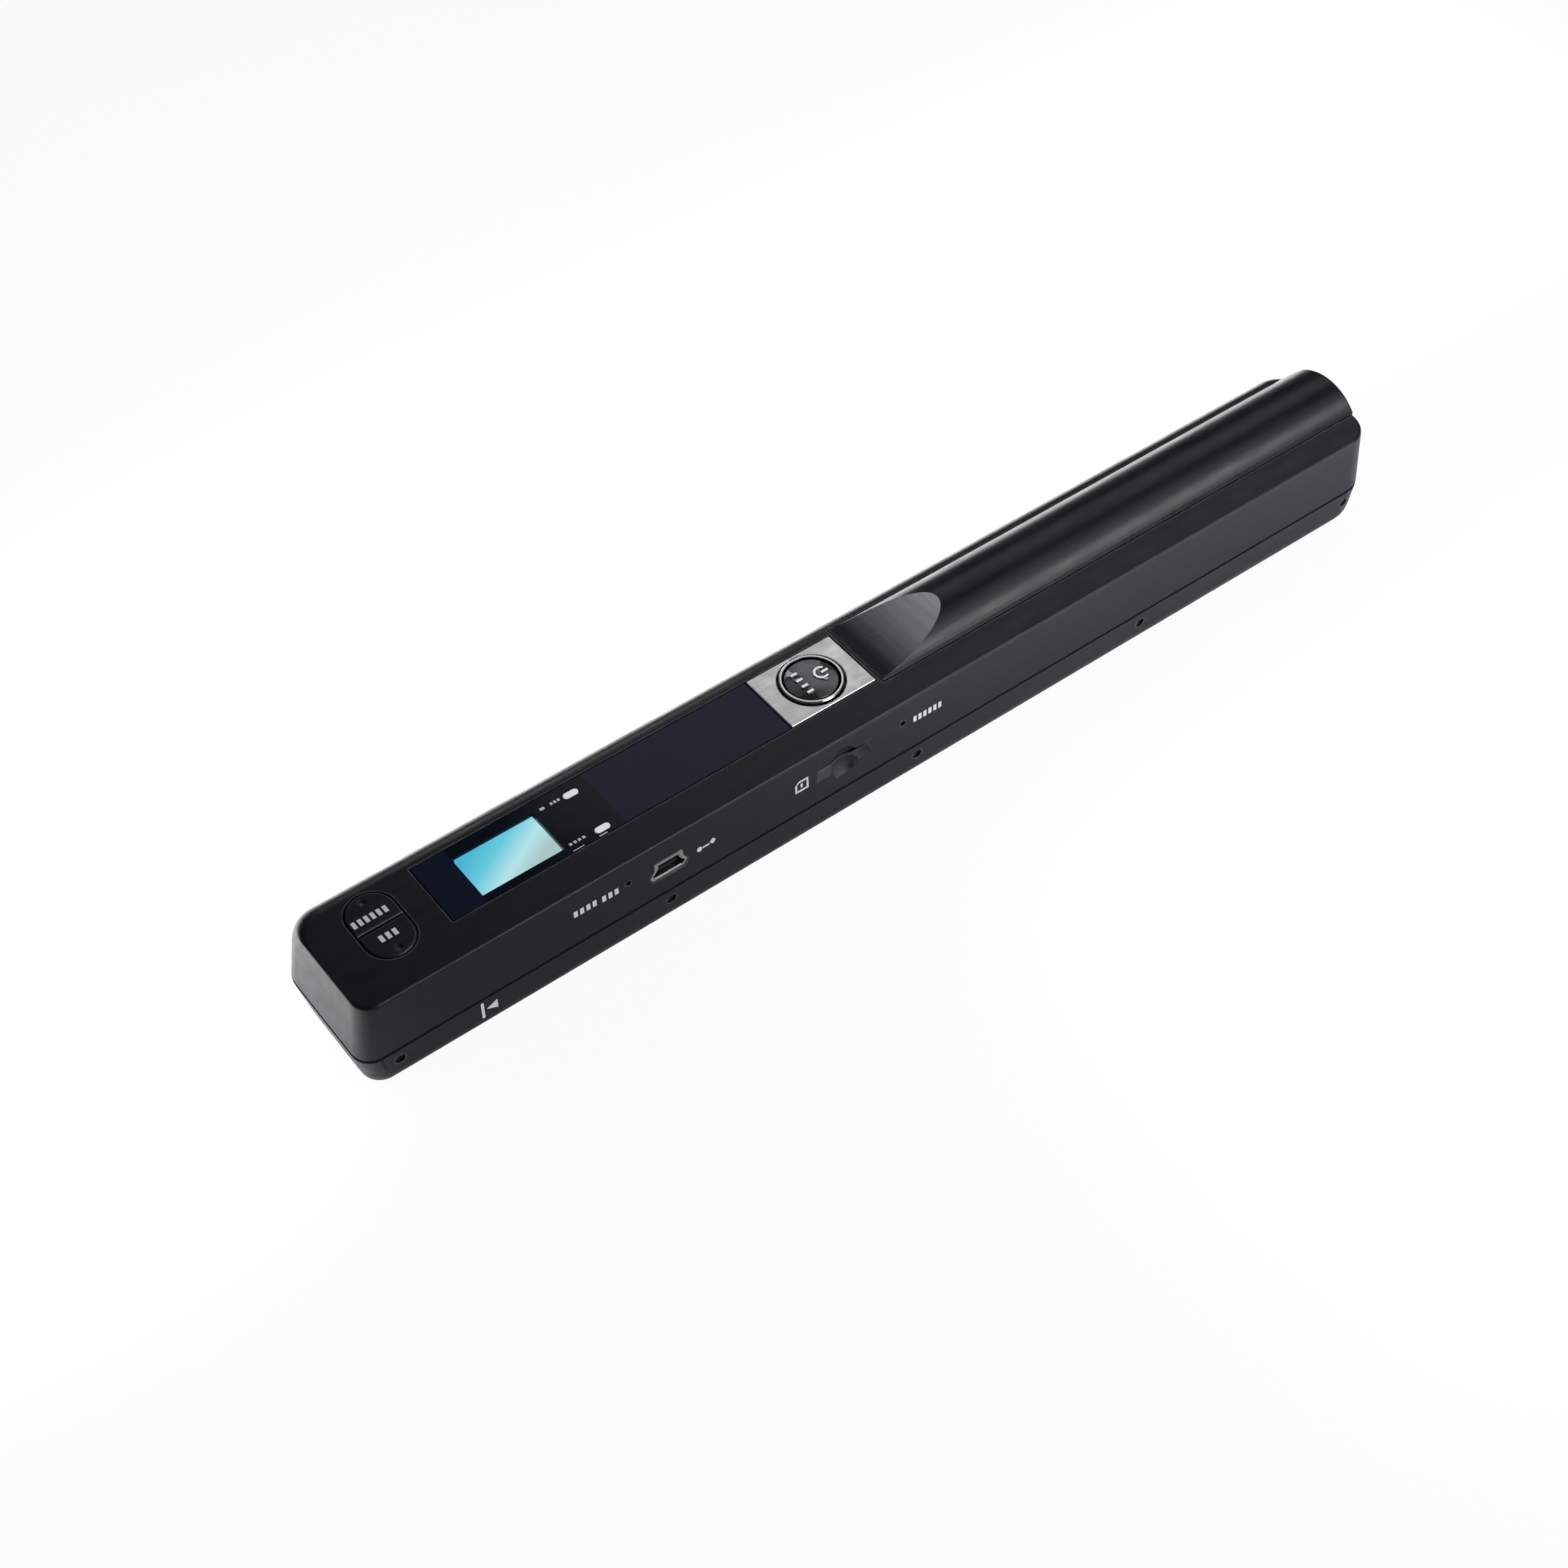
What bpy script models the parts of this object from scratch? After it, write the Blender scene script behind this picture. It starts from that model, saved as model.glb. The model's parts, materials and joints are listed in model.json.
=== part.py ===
"""Handheld document scanner, modelled as separate solids.

Metres, +X along the body towards the grip, -Y towards the front with its sockets, +Z up.
The origin is on the resting plane, under the middle of the body.
"""

import math

import bmesh
import bpy
from mathutils import Matrix, Vector

# Clearances
GAP = 0.0003
RUN_GAP = 0.00006
SEAT_GAP = 0.00015
OVERRUN = 0.002
WELD = 0.00002

# Size at which the empties on the joint axes are drawn
PIVOT_SIZE = 0.01

# Casing: outline at the seam and at the deck
CASE_LENGTH = 0.2560
CASE_WIDTH = 0.0299
FRONT_LEFT_CORNER = 0.0040
BACK_LEFT_CORNER = 0.0062
RIGHT_CORNER = 0.0070
LEFT_DRAFT = 0.0021
RIGHT_DRAFT = 0.0009
SIDE_DRAFT = 0.0008
DECK_WIDTH = CASE_WIDTH - 2 * SIDE_DRAFT
DECK_Z = 0.0241
SEAM_Z = 0.0100
SEAM_GAP = 0.00035
WALL = 0.0018
INNER_WALL_Y = CASE_WIDTH / 2 - WALL
DECK_THICK = 0.0022
BACK_FILLET = 0.0046
DECK_EDGE = 0.0005
CORNER_STEPS = 9
FILLET_STEPS = 8

# Lower casing: flat base, rounded long edges, slanted ends, glide rails
BASE_Z = 0.0006
BASE_THICK = 0.0016
END_SLANT = 0.0020
BASE_LENGTH = CASE_LENGTH - 2 * END_SLANT
LONG_EDGE = 0.0042
LIP_THICK = 0.0009
LIP_HEIGHT = 0.0014
RAIL_END_INSET = 0.0080
RAIL_LENGTH = BASE_LENGTH - 2 * RAIL_END_INSET
RAIL_WIDTH = 0.0012
RAIL_BESIDE_GLASS = 0.0020

# Latches along both long walls: nibs that show as round dots
LATCH_COUNT = 5
LATCH_END_INSET = 0.0054
LATCH_PITCH = (BASE_LENGTH - 2 * LATCH_END_INSET) / (LATCH_COUNT - 1)
LATCH_WIDTH = 0.0026
LATCH_THICK = 0.0011
LATCH_BOTTOM = 0.0052
LATCH_ROOT_Z = 0.0109
LATCH_TOP = 0.0140
LATCH_NIB_Z = 0.0073
LATCH_HOLE = 0.0022
LATCH_NIB_SINK = 0.0006
LATCH_OUTER_Y = INNER_WALL_Y - GAP
LATCH_INNER_Y = LATCH_OUTER_Y - LATCH_THICK

# Battery cells and the bay that they lie in
CELL_RADIUS = 0.00725
CELL_LENGTH = 0.0505
CELL_COUNT = 2
CELL_NUB_RADIUS = 0.0027
CELL_NUB_LENGTH = 0.0012
CELL_AXIS_Z = 0.0192
CELL_EDGE = 0.0007
CRADLE_WALL = 0.0010
CRADLE_END_WALL = 0.0012
CRADLE_TOP = 0.0205
CONTACT_THICK = 0.0005
CONTACT_WIDTH = 0.0100
CONTACT_HEIGHT = 0.0100
SPRING_ROOM = 0.0066
SPRING_WIRE = 0.0007
SPRING_RADIUS = 0.0032
SPRING_TURNS = 3
SPRING_POINTS_PER_TURN = 10

# Battery door: barrel-shaped grip with a scooped thumb ramp
DOOR_HALF = 0.0087
DOOR_CROWN_Z = 0.0282
DOOR_WALL = 0.0012
DOOR_END_WALL = 0.0015
DOOR_END_EDGE = 0.0004
DOOR_END_LIP = 0.0005
DOOR_ARC_STEPS = 26
RAMP_LIP = 0.00035
RAMP_LENGTH = 0.0205
RAMP_TO_CELL = 0.0005
RAMP_START_SLOPE = 0.10
RAMP_STEPS = 12
LEDGE_THICK = 0.0011
LEDGE_BACK_INSET = 0.00075

# Lengths along the deck, and how the length left over is shared between them:
# left end, keys, fascia edge, display, lamps, plain fascia, right end
KEYS_WIDTH = 0.0104
LCD_LENGTH = 0.0173
LAMP_LENGTH = 0.0032
PLATE_LENGTH = 0.0207
PANEL_TO_PLATE = 0.00035
PLATE_TO_DOOR = 0.00095
CELLS_LENGTH = CELL_COUNT * (CELL_LENGTH + GAP)
BAY_LENGTH = RAMP_LENGTH + RAMP_TO_CELL + CELLS_LENGTH + CONTACT_THICK + GAP + CRADLE_END_WALL
FASCIA_PIECES = KEYS_WIDTH + LCD_LENGTH + LAMP_LENGTH + PANEL_TO_PLATE
SPARE_LENGTH = CASE_LENGTH - FASCIA_PIECES - PLATE_LENGTH - PLATE_TO_DOOR - BAY_LENGTH
KEYS_MARGIN_SHARE = 0.1292
KEYS_TO_PANEL_SHARE = 0.0739
DISPLAY_MARGIN_SHARE = 0.0968
DISPLAY_TO_LAMPS_SHARE = 0.0917
PLAIN_PANEL_SHARE = 0.5262
KEYS_X = -CASE_LENGTH / 2 + SPARE_LENGTH * KEYS_MARGIN_SHARE + KEYS_WIDTH / 2
PANEL_LEFT = KEYS_X + KEYS_WIDTH / 2 + SPARE_LENGTH * KEYS_TO_PANEL_SHARE
LCD_X = PANEL_LEFT + SPARE_LENGTH * DISPLAY_MARGIN_SHARE + LCD_LENGTH / 2
LAMP_X = LCD_X + LCD_LENGTH / 2 + SPARE_LENGTH * DISPLAY_TO_LAMPS_SHARE + LAMP_LENGTH / 2
PANEL_RIGHT = LAMP_X + LAMP_LENGTH / 2 + SPARE_LENGTH * PLAIN_PANEL_SHARE
PLATE_LEFT = PANEL_RIGHT + PANEL_TO_PLATE
PLATE_RIGHT = PLATE_LEFT + PLATE_LENGTH
DOOR_LEFT = PLATE_RIGHT + PLATE_TO_DOOR
CELL_START_X = DOOR_LEFT + RAMP_LENGTH + RAMP_TO_CELL
CRADLE_LEFT = CELL_START_X - SPRING_ROOM
CRADLE_RIGHT = DOOR_LEFT + BAY_LENGTH

# Line along the deck that the grip and the deck pieces lie about
DOOR_FRONT_SHARE = 0.6284
DOOR_CENTRE_Y = -DECK_WIDTH / 2 + (DECK_WIDTH - 2 * DOOR_HALF) * DOOR_FRONT_SHARE + DOOR_HALF

# Fascia panel, display and lamps
PANEL_FRONT_REACH = 0.0075
PANEL_BACK_REACH = 0.0073
PANEL_FRONT = DOOR_CENTRE_Y - PANEL_FRONT_REACH
PANEL_BACK = DOOR_CENTRE_Y + PANEL_BACK_REACH
PANEL_THICK = 0.0010
LCD_SHIFT = 0.0006
LCD_Y = DOOR_CENTRE_Y - LCD_SHIFT
LCD_WIDTH = 0.0100
LCD_THICK = 0.00195
LCD_SINK = 0.00015
HOLDER_RIM = 0.0018
HOLDER_POCKET = 0.0012
LAMP_BACK_REACH = 0.0046
LAMP_FRONT_REACH = 0.0059
LAMP_YS = (DOOR_CENTRE_Y + LAMP_BACK_REACH, DOOR_CENTRE_Y - LAMP_FRONT_REACH)
LAMP_WIDTH = 0.0014
LAMP_DIODE_HEIGHT = 0.0012

# Scan plate, chrome ring and scan button
PLATE_RISE = 0.00012
BUTTON_SHIFT = 0.0002
BUTTON_X = (PLATE_LEFT + PLATE_RIGHT) / 2 + BUTTON_SHIFT
BUTTON_Y = DOOR_CENTRE_Y
BUTTON_RADIUS = 0.00555
BUTTON_RISE = 0.00065
BUTTON_DOME = 0.00030
RING_THICK = 0.00060
RING_RISE = 0.00060
RING_TO_PLATE = 0.00045
BUTTON_CROWN_SHARES = (0.66, 0.33)
MARK_RISE = 0.00018
MARK_WIDTH = 0.00060
MARK_HEIGHT = 0.0015
MARK_PITCH = 0.0018
MARK_COUNT = 4
MARK_ROW_SHIFT = 0.0023
SIGN_SHIFT = 0.0024
SIGN_RADIUS = 0.0017
SIGN_GAP_SHARE = 0.22
SIGN_STEPS = 14
FLANGE = 0.0007
FLANGE_THICK = 0.0008
STEM_RADIUS = 0.0015

# Two keys in one stadium-shaped opening
KEYS_HALF_SHARE = 0.2968
KEYS_SHIFT = 0.0004
KEYS_SPLIT_SHIFT = 0.0002
KEYS_MIDDLE_Y = DOOR_CENTRE_Y - KEYS_SHIFT
KEYS_FRONT = KEYS_MIDDLE_Y - DECK_WIDTH * KEYS_HALF_SHARE
KEYS_BACK = KEYS_MIDDLE_Y + DECK_WIDTH * KEYS_HALF_SHARE
KEYS_SPLIT_Y = KEYS_MIDDLE_Y - KEYS_SPLIT_SHIFT
KEY_RISE = 0.00025
KEY_EDGE = 0.00030
DIMPLE_BALL = 0.0016
DIMPLE_DEPTH = 0.00035
DIMPLE_INSET = 0.0021

# Push switches under the button and the keys
SCAN_SWITCH_SHIFT = 0.0034
SCAN_SWITCH_Y = BUTTON_Y + SCAN_SWITCH_SHIFT
SWITCH_SIDE = 0.0060
SWITCH_HEIGHT = 0.0030
PLUNGER_RADIUS = 0.0010
PLUNGER_RISE = 0.0008
PLUNGER_DEPTH = 0.0009
PLUNGER_WELL = 0.0015

# Front wall sockets
USB_BESIDE_LAMPS = 0.00775
USB_X = LAMP_X + USB_BESIDE_LAMPS
USB_Z = 0.01690
USB_TOP_HALF = 0.00285
USB_NECK_HALF = 0.00295
USB_WIDE_HALF = 0.00405
USB_LOW_HALF = 0.00325
USB_HEIGHT = 0.0041
USB_NECK_RISE = 0.0006
USB_WIDE_DROP = 0.0009
USB_CORNER_DROP = 0.0012
USB_WALL = 0.00035
USB_DEPTH = 0.0080
USB_SINK = 0.00055
USB_FRONT_Y = USB_SINK - CASE_WIDTH / 2
USB_TONGUE_WIDTH = 0.0042
USB_TONGUE_THICK = 0.0008
CARD_BESIDE_BUTTON = 0.0042
CARD_X = BUTTON_X - CARD_BESIDE_BUTTON
CARD_Z = 0.0176
CARD_MOUTH_LENGTH = 0.0136
CARD_MOUTH_HEIGHT = 0.0034
CARD_MOUTH_DEPTH = 0.0010
CARD_SLIT_Z = 0.0181
CARD_SLIT_LENGTH = 0.0118
CARD_SLIT_HEIGHT = 0.0011
CARD_DISH_RADIUS = 0.0040
CARD_DISH_DEPTH = 0.0015
CARD_SOCKET_LENGTH = 0.0140
CARD_SOCKET_INSET = 0.00085
CARD_SOCKET_FRONT_Y = CARD_SOCKET_INSET - INNER_WALL_Y
CARD_SOCKET_DEPTH = SCAN_SWITCH_Y - SWITCH_SIDE / 2 - GAP - CARD_SOCKET_FRONT_Y
CARD_SOCKET_BACK = 0.0008
CARD_SOCKET_ROOF = 0.0006
PIN_HOLE = 0.0013
CLOCK_BESIDE_LAMPS = 0.0014
WIPE_BESIDE_DOOR = 0.0007
CLOCK_PIN_X = LAMP_X - CLOCK_BESIDE_LAMPS
WIPE_PIN_X = DOOR_LEFT - WIPE_BESIDE_DOOR
PIN_Z = 0.0184
SIDE_SWITCH_LENGTH = 0.0050
SIDE_SWITCH_DEPTH = 0.0024
SIDE_SWITCH_INSET = 0.00205
SIDE_SWITCH_FRONT_Y = SIDE_SWITCH_INSET - INNER_WALL_Y
SIDE_PLUNGER_RADIUS = 0.0006
SIDE_PLUNGER_REACH = 0.0012
SIDE_TRAVEL = 0.00025

# Main board
BOARD_LEFT_REACH = 0.0066
BOARD_RIGHT_REACH = 0.0030
BOARD_SIDE_GAP = 0.00035
BOARD_LEFT = KEYS_X - BOARD_LEFT_REACH
BOARD_RIGHT = WIPE_PIN_X + BOARD_RIGHT_REACH
BOARD_WIDTH = 2 * (LATCH_INNER_Y - BOARD_SIDE_GAP)
BOARD_THICK = 0.0012
BOARD_TOP = 0.0147
CHIP_SIDE = 0.0100
CHIP_GAP = 0.0016
CHIP_HEIGHT = 0.0012
CHIP_BALLS = 0.0002
CHIP_X = USB_X
CHIP_Y = USB_FRONT_Y + USB_DEPTH + CHIP_GAP + CHIP_SIDE / 2
PEG_RADIUS = 0.0012
PEG_INSET = 0.0002
PEG_Y = BOARD_WIDTH / 2 - PEG_INSET
PEG_XS = (KEYS_X + KEYS_WIDTH / 2 + FLANGE + GAP + PEG_RADIUS, (USB_X + CARD_X) / 2,
          (CARD_X + CARD_SOCKET_LENGTH / 2 + WIPE_PIN_X - SIDE_SWITCH_LENGTH / 2) / 2)

# Tyres, and the axles on both sides of the scanning bar
TYRE_RADIUS = 0.0035
TYRE_LENGTH = 0.0300
TYRE_LIFT = 0.00005
TYRE_TO_WALL = 0.00065
TYRE_TO_GEAR = 0.0021
AXLE_Y = INNER_WALL_Y - TYRE_RADIUS - TYRE_TO_WALL
AXLE_Z = TYRE_RADIUS + TYRE_LIFT
AXLE_RADIUS = 0.0008
AXLE_END = 0.0009
BUSH_RADIUS = 0.0014
BUSH_LENGTH = 0.0020
BUSH_LEFT_INSET = 0.0274
BUSH_RIGHT_INSET = 0.0242
BUSH_LEFT_X = BUSH_LEFT_INSET - CASE_LENGTH / 2
BUSH_RIGHT_X = CASE_LENGTH / 2 - BUSH_RIGHT_INSET
AXLE_LEFT = BUSH_LEFT_X - BUSH_LENGTH / 2 - AXLE_END
AXLE_RIGHT = BUSH_RIGHT_X + BUSH_LENGTH / 2 + AXLE_END
POST_WIDTH = 0.0050
POST_TOP = 0.0058

# Encoder train
GEAR_MODULE = 0.0004
GEAR_TEETH = 13
PINION_TEETH = 10
GEAR_WIDTH = 0.0028
GEAR_BEFORE_BUSH = 0.0043
GEAR_X = BUSH_RIGHT_X - GEAR_BEFORE_BUSH
TYRE_MIDDLE_X = GEAR_X - GEAR_WIDTH / 2 - TYRE_TO_GEAR - TYRE_LENGTH / 2
TOOTH_THIN_SHARE = 0.80
ROOT_DEPTH_SHARE = 1.25
TOOTH_ROOT_SHARE = 1.5
TOOTH_TIP_SHARE = 0.5
MESH_EASE = 0.00012
DISC_AFTER_BUSH = 0.0047
DISC_X = BUSH_RIGHT_X + DISC_AFTER_BUSH
DISC_RADIUS = 0.0032
DISC_THICK = 0.0008
DISC_SLOTS = 8
DISC_SLOT_WIDTH = 0.0005
DISC_SLOT_SHARES = (0.60, 0.88)
SPINDLE_RADIUS = 0.0006
SPINDLE_LEFT_END = 0.0009
SPINDLE_RIGHT_END = 0.0002
SPINDLE_POST_AFTER_DISC = 0.0030
SPINDLE_POST_THICK = 0.0016
SPINDLE_POST_TOP = 0.0100
SPINDLE_POST_X = DISC_X + SPINDLE_POST_AFTER_DISC
SPINDLE_LEFT = GEAR_X - GEAR_WIDTH / 2 - SPINDLE_LEFT_END
SPINDLE_RIGHT = SPINDLE_POST_X + SPINDLE_POST_THICK / 2 + SPINDLE_RIGHT_END
EYE_WIDTH = 0.0036
EYE_SLOT = 0.0014
EYE_BOTTOM = 0.0062
EYE_TOP = 0.0104
EYE_REACH = 0.00265

# Scanning bar, as wide as the tyres leave room for
SENSOR_END_INSET = 0.0170
SENSOR_TO_TYRE = 0.0004
SENSOR_LENGTH = CASE_LENGTH - 2 * SENSOR_END_INSET
SENSOR_WIDTH = 2 * (AXLE_Y - TYRE_RADIUS - SENSOR_TO_TYRE)
SENSOR_BOTTOM = 0.0025
SENSOR_TOP = 0.0102
GLASS_END_INSET = 0.0025
GLASS_SIDE_INSET = 0.0015
GLASS_LENGTH = SENSOR_LENGTH - 2 * GLASS_END_INSET
GLASS_WIDTH = SENSOR_WIDTH - 2 * GLASS_SIDE_INSET
GLASS_THICK = 0.0013
GLASS_BOTTOM = 0.0009
LENS_END_INSET = 0.0030
LENS_LENGTH = SENSOR_LENGTH - 2 * LENS_END_INSET
LENS_WIDTH = 0.0013
LENS_HEIGHT = 0.0045
LENS_BOTTOM = 0.0032
GUIDE_RADIUS_SHARE = 0.18
GUIDE_PLACE_SHARE = 0.54
GUIDE_ROOM = (SENSOR_WIDTH - LENS_WIDTH) / 2
GUIDE_RADIUS = GUIDE_ROOM * GUIDE_RADIUS_SHARE
GUIDE_Y = LENS_WIDTH / 2 + GUIDE_ROOM * GUIDE_PLACE_SHARE
GUIDE_Z = 0.0039
SENSOR_BOARD_INSET = 0.0014
SENSOR_BOARD_WIDTH = SENSOR_WIDTH - 2 * SENSOR_BOARD_INSET
SENSOR_BOARD_THICK = 0.0010
SENSOR_BOARD_BOTTOM = 0.0083
RAIL_Y = GLASS_WIDTH / 2 + RAIL_BESIDE_GLASS

# Casing screws at the four corners
SCREW_END_INSET = 0.0125
SCREW_SIDE_INSET = 0.00255
SCREW_X = CASE_LENGTH / 2 - SCREW_END_INSET
SCREW_Y = INNER_WALL_Y - SCREW_SIDE_INSET
SCREW_SHANK = 0.0009
SCREW_HEAD = 0.0019
SCREW_HEAD_THICK = 0.0012
SCREW_HEAD_TOP = 0.0028
SCREW_TIP = 0.0126
SCREW_SLOT = 0.0005
SCREW_SLOT_DEPTH = 0.0006
SCREW_SLOT_SHARE = 0.7
BOSS_RADIUS = 0.0022
POST_RADIUS = 0.0028
BOSS_TOP = 0.0132
BOSS_SPLIT = 0.0090
BOSS_WEB = 0.0016

# Wiring
FLEX_INSET = 0.0110
FLEX_X = FLEX_INSET - SENSOR_LENGTH / 2
FLEX_WIDTH = 0.0080
FLEX_THICK = 0.0003


def clear_objects():
    for old in list(bpy.data.objects):
        bpy.data.objects.remove(old, do_unlink=True)


def material(name, colour, roughness, metallic=0.0):
    mat = bpy.data.materials.new(name)
    mat.use_nodes = True
    shader = mat.node_tree.nodes["Principled BSDF"]
    shader.inputs["Base Color"].default_value = (*colour, 1.0)
    shader.inputs["Roughness"].default_value = roughness
    shader.inputs["Metallic"].default_value = metallic
    return mat


# Solids as bmesh pieces

def box(low, high):
    piece = bmesh.new()
    low, high = Vector(low), Vector(high)
    bmesh.ops.create_cube(piece, size=1.0)
    bmesh.ops.scale(piece, vec=high - low, verts=piece.verts)
    bmesh.ops.translate(piece, vec=(low + high) / 2, verts=piece.verts)
    return piece


def loft(rings):
    """Closed solid: the first ring's face, extruded from ring to ring of equally many points."""
    piece = bmesh.new()
    face = piece.faces.new([piece.verts.new(point) for point in rings[0]])
    for number, ring in enumerate(rings[1:]):
        grown = bmesh.ops.extrude_face_region(piece, geom=[face])["geom"]
        if number > 0:
            bmesh.ops.delete(piece, geom=[face], context="FACES_ONLY")
        face = next(item for item in grown if isinstance(item, bmesh.types.BMFace))
        for vert, point in zip(list(face.verts), ring):
            vert.co = point
    bmesh.ops.recalc_face_normals(piece, faces=piece.faces)
    return piece


def along(axis, place, u, v):
    """A point at place along the named axis, with u and v on the two other axes in order."""
    if axis == "X":
        return Vector((place, u, v))
    if axis == "Y":
        return Vector((u, place, v))
    return Vector((u, v, place))


def prism(outline, axis, start, end):
    return loft([[along(axis, place, u, v) for u, v in outline] for place in (start, end)])


def circle(radius, steps, centre):
    turn = 2 * math.pi / steps
    return [(centre[0] + radius * math.cos(turn * k),
             centre[1] + radius * math.sin(turn * k)) for k in range(steps)]


def rod(radius, axis, start, end, centre, steps=20):
    return prism(circle(radius, steps, centre), axis, start, end)


def turned(profile, axis, centre, steps=32):
    """Solid turned round an axis through centre; the profile lists (place, radius) pairs."""
    rings = []
    for place, radius in profile:
        rings.append([along(axis, place, u, v) for u, v in circle(radius, steps, centre)])
    return loft(rings)


def stadium(centre, length, width, steps=10):
    """Outline with round ends, its length along the second axis."""
    radius = width / 2
    straight = length / 2 - radius
    points = []
    for side in (1, -1):
        for k in range(steps + 1):
            angle = math.pi * k / steps + (0 if side > 0 else math.pi)
            points.append((centre[0] + radius * math.cos(angle),
                           centre[1] + side * straight + radius * math.sin(angle)))
    return points


def rounded_ring(left, right, front, back, inset, z):
    """The casing's rounded outline in plan between four sides, its corners drawn in by inset."""
    points = []
    quarters = ((right, back, 0.0, RIGHT_CORNER), (left, back, 0.5, BACK_LEFT_CORNER),
                (left, front, 1.0, FRONT_LEFT_CORNER), (right, front, 1.5, RIGHT_CORNER))
    for end, edge, start, radius in quarters:
        corner = radius - inset
        centre_x = end - corner if end == right else end + corner
        centre_y = edge - corner if edge == back else edge + corner
        for k in range(CORNER_STEPS + 1):
            angle = math.pi * (start + 0.5 * k / CORNER_STEPS)
            points.append(Vector((centre_x + corner * math.cos(angle),
                                  centre_y + corner * math.sin(angle), z)))
    return points


def round_inset(radius, height_above_start):
    """How far a fillet of this radius has drawn in at a height above its start."""
    rise = min(max(height_above_start, 0.0), radius)
    return radius - math.sqrt(radius * radius - rise * rise)


# Objects, cuts and joins

def place(name, piece, mat, smooth_angle=40.0):
    mesh = bpy.data.meshes.new(name)
    piece.to_mesh(mesh)
    piece.free()
    mesh.shade_smooth()
    mesh.set_sharp_from_angle(angle=math.radians(smooth_angle))
    thing = bpy.data.objects.new(name, mesh)
    thing.data.materials.append(mat)
    bpy.context.scene.collection.objects.link(thing)
    return thing


def combine(pieces):
    """One mesh from several pieces, for use as a cutter or an addition."""
    whole = bpy.data.meshes.new("tool")
    gathered = bmesh.new()
    for piece in pieces:
        piece.to_mesh(whole)
        piece.free()
        gathered.from_mesh(whole)
    bpy.data.meshes.remove(whole)
    return gathered


def reshape(thing, operation, pieces):
    tool = place(thing.name + "_tool", combine(pieces), thing.data.materials[0])
    tool.hide_render = True
    tool.display_type = "WIRE"
    change = thing.modifiers.new(operation.lower(), "BOOLEAN")
    change.operation = operation
    change.solver = "EXACT"
    change.use_self = len(pieces) > 1
    change.object = tool
    return thing


def cut(thing, *pieces):
    return reshape(thing, "DIFFERENCE", pieces)


def add(thing, *pieces):
    return reshape(thing, "UNION", pieces)


def weld_cuts():
    """Merge the corners that the cuts leave closer together than any real edge is long."""
    for thing in bpy.data.objects:
        if thing.modifiers and not thing.hide_render:
            weld = thing.modifiers.new("weld", "WELD")
            weld.merge_threshold = WELD


def pivot(name, position):
    """Empty on a joint's axis, which carries the pieces that move with it."""
    empty = bpy.data.objects.new(name, None)
    empty.empty_display_size = PIVOT_SIZE
    empty.location = position
    bpy.context.scene.collection.objects.link(empty)
    return empty


def carry(empty, *things):
    for thing in things:
        thing.parent = empty
        thing.matrix_parent_inverse = Matrix.Translation(-empty.location)


# Sizes that several pieces share

DECK_BOTTOM = DECK_Z - DECK_THICK
POCKET_FLOOR = DECK_Z - PANEL_THICK - GAP
BOARD_BOTTOM = BOARD_TOP - BOARD_THICK
SWITCH_TOP = BOARD_TOP + GAP + SWITCH_HEIGHT
STEM_BOTTOM = SWITCH_TOP + PLUNGER_RISE + GAP
UPPER_BOTTOM = SEAM_Z + SEAM_GAP
FLOOR_Z = BASE_Z + BASE_THICK
DOOR_BOTTOM = DECK_BOTTOM + GAP
DOOR_RIGHT = CASE_LENGTH / 2 - RIGHT_DRAFT + DOOR_END_LIP
BAY_HALF = CELL_RADIUS + GAP
GEAR_PITCH = GEAR_MODULE * GEAR_TEETH / 2
PINION_PITCH = GEAR_MODULE * PINION_TEETH / 2
SPINDLE_Z = AXLE_Z + GEAR_PITCH + PINION_PITCH + MESH_EASE
DOOR_RADIUS = (DOOR_HALF ** 2 + (DOOR_CROWN_Z - DECK_Z) ** 2) / (2 * (DOOR_CROWN_Z - DECK_Z))
DOOR_ARC_Z = DOOR_CROWN_Z - DOOR_RADIUS
USB_BOTTOM = USB_Z - USB_HEIGHT / 2
USB_TOP = USB_Z + USB_HEIGHT / 2
WALL_RUN = CASE_WIDTH / 2 + OVERRUN
LEDGE_REACH = INNER_WALL_Y - LEDGE_BACK_INSET - DOOR_CENTRE_Y


def latch_places():
    middle = (LATCH_COUNT - 1) / 2
    for k in range(LATCH_COUNT):
        for side in (-1, 1):
            yield (k - middle) * LATCH_PITCH, side


def screw_places():
    for side_x in (-1, 1):
        for side_y in (-1, 1):
            yield side_x * SCREW_X, side_y * SCREW_Y


# Upper casing

def upper_rings(inset, bottom, top, fillet, edge):
    """Rings of the upper shell from bottom to top, drawn in by inset all round."""
    heights = [bottom]
    for k in range(FILLET_STEPS + 1):
        heights.append(top - fillet + fillet * math.sin(math.pi / 2 * k / FILLET_STEPS))
    rings = []
    for z in heights:
        lean_share = (z - SEAM_Z) / (DECK_Z - SEAM_Z)
        half_y = (CASE_WIDTH + (DECK_WIDTH - CASE_WIDTH) * lean_share) / 2 - inset
        soft = round_inset(edge, z - (top - edge))
        rounding = max(round_inset(fillet, z - (top - fillet)), soft)
        left = LEFT_DRAFT * lean_share - CASE_LENGTH / 2 + inset + soft
        right = CASE_LENGTH / 2 - RIGHT_DRAFT * lean_share - inset - soft
        rings.append(rounded_ring(left, right, -half_y + soft, half_y - rounding, inset, z))
    return rings


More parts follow.
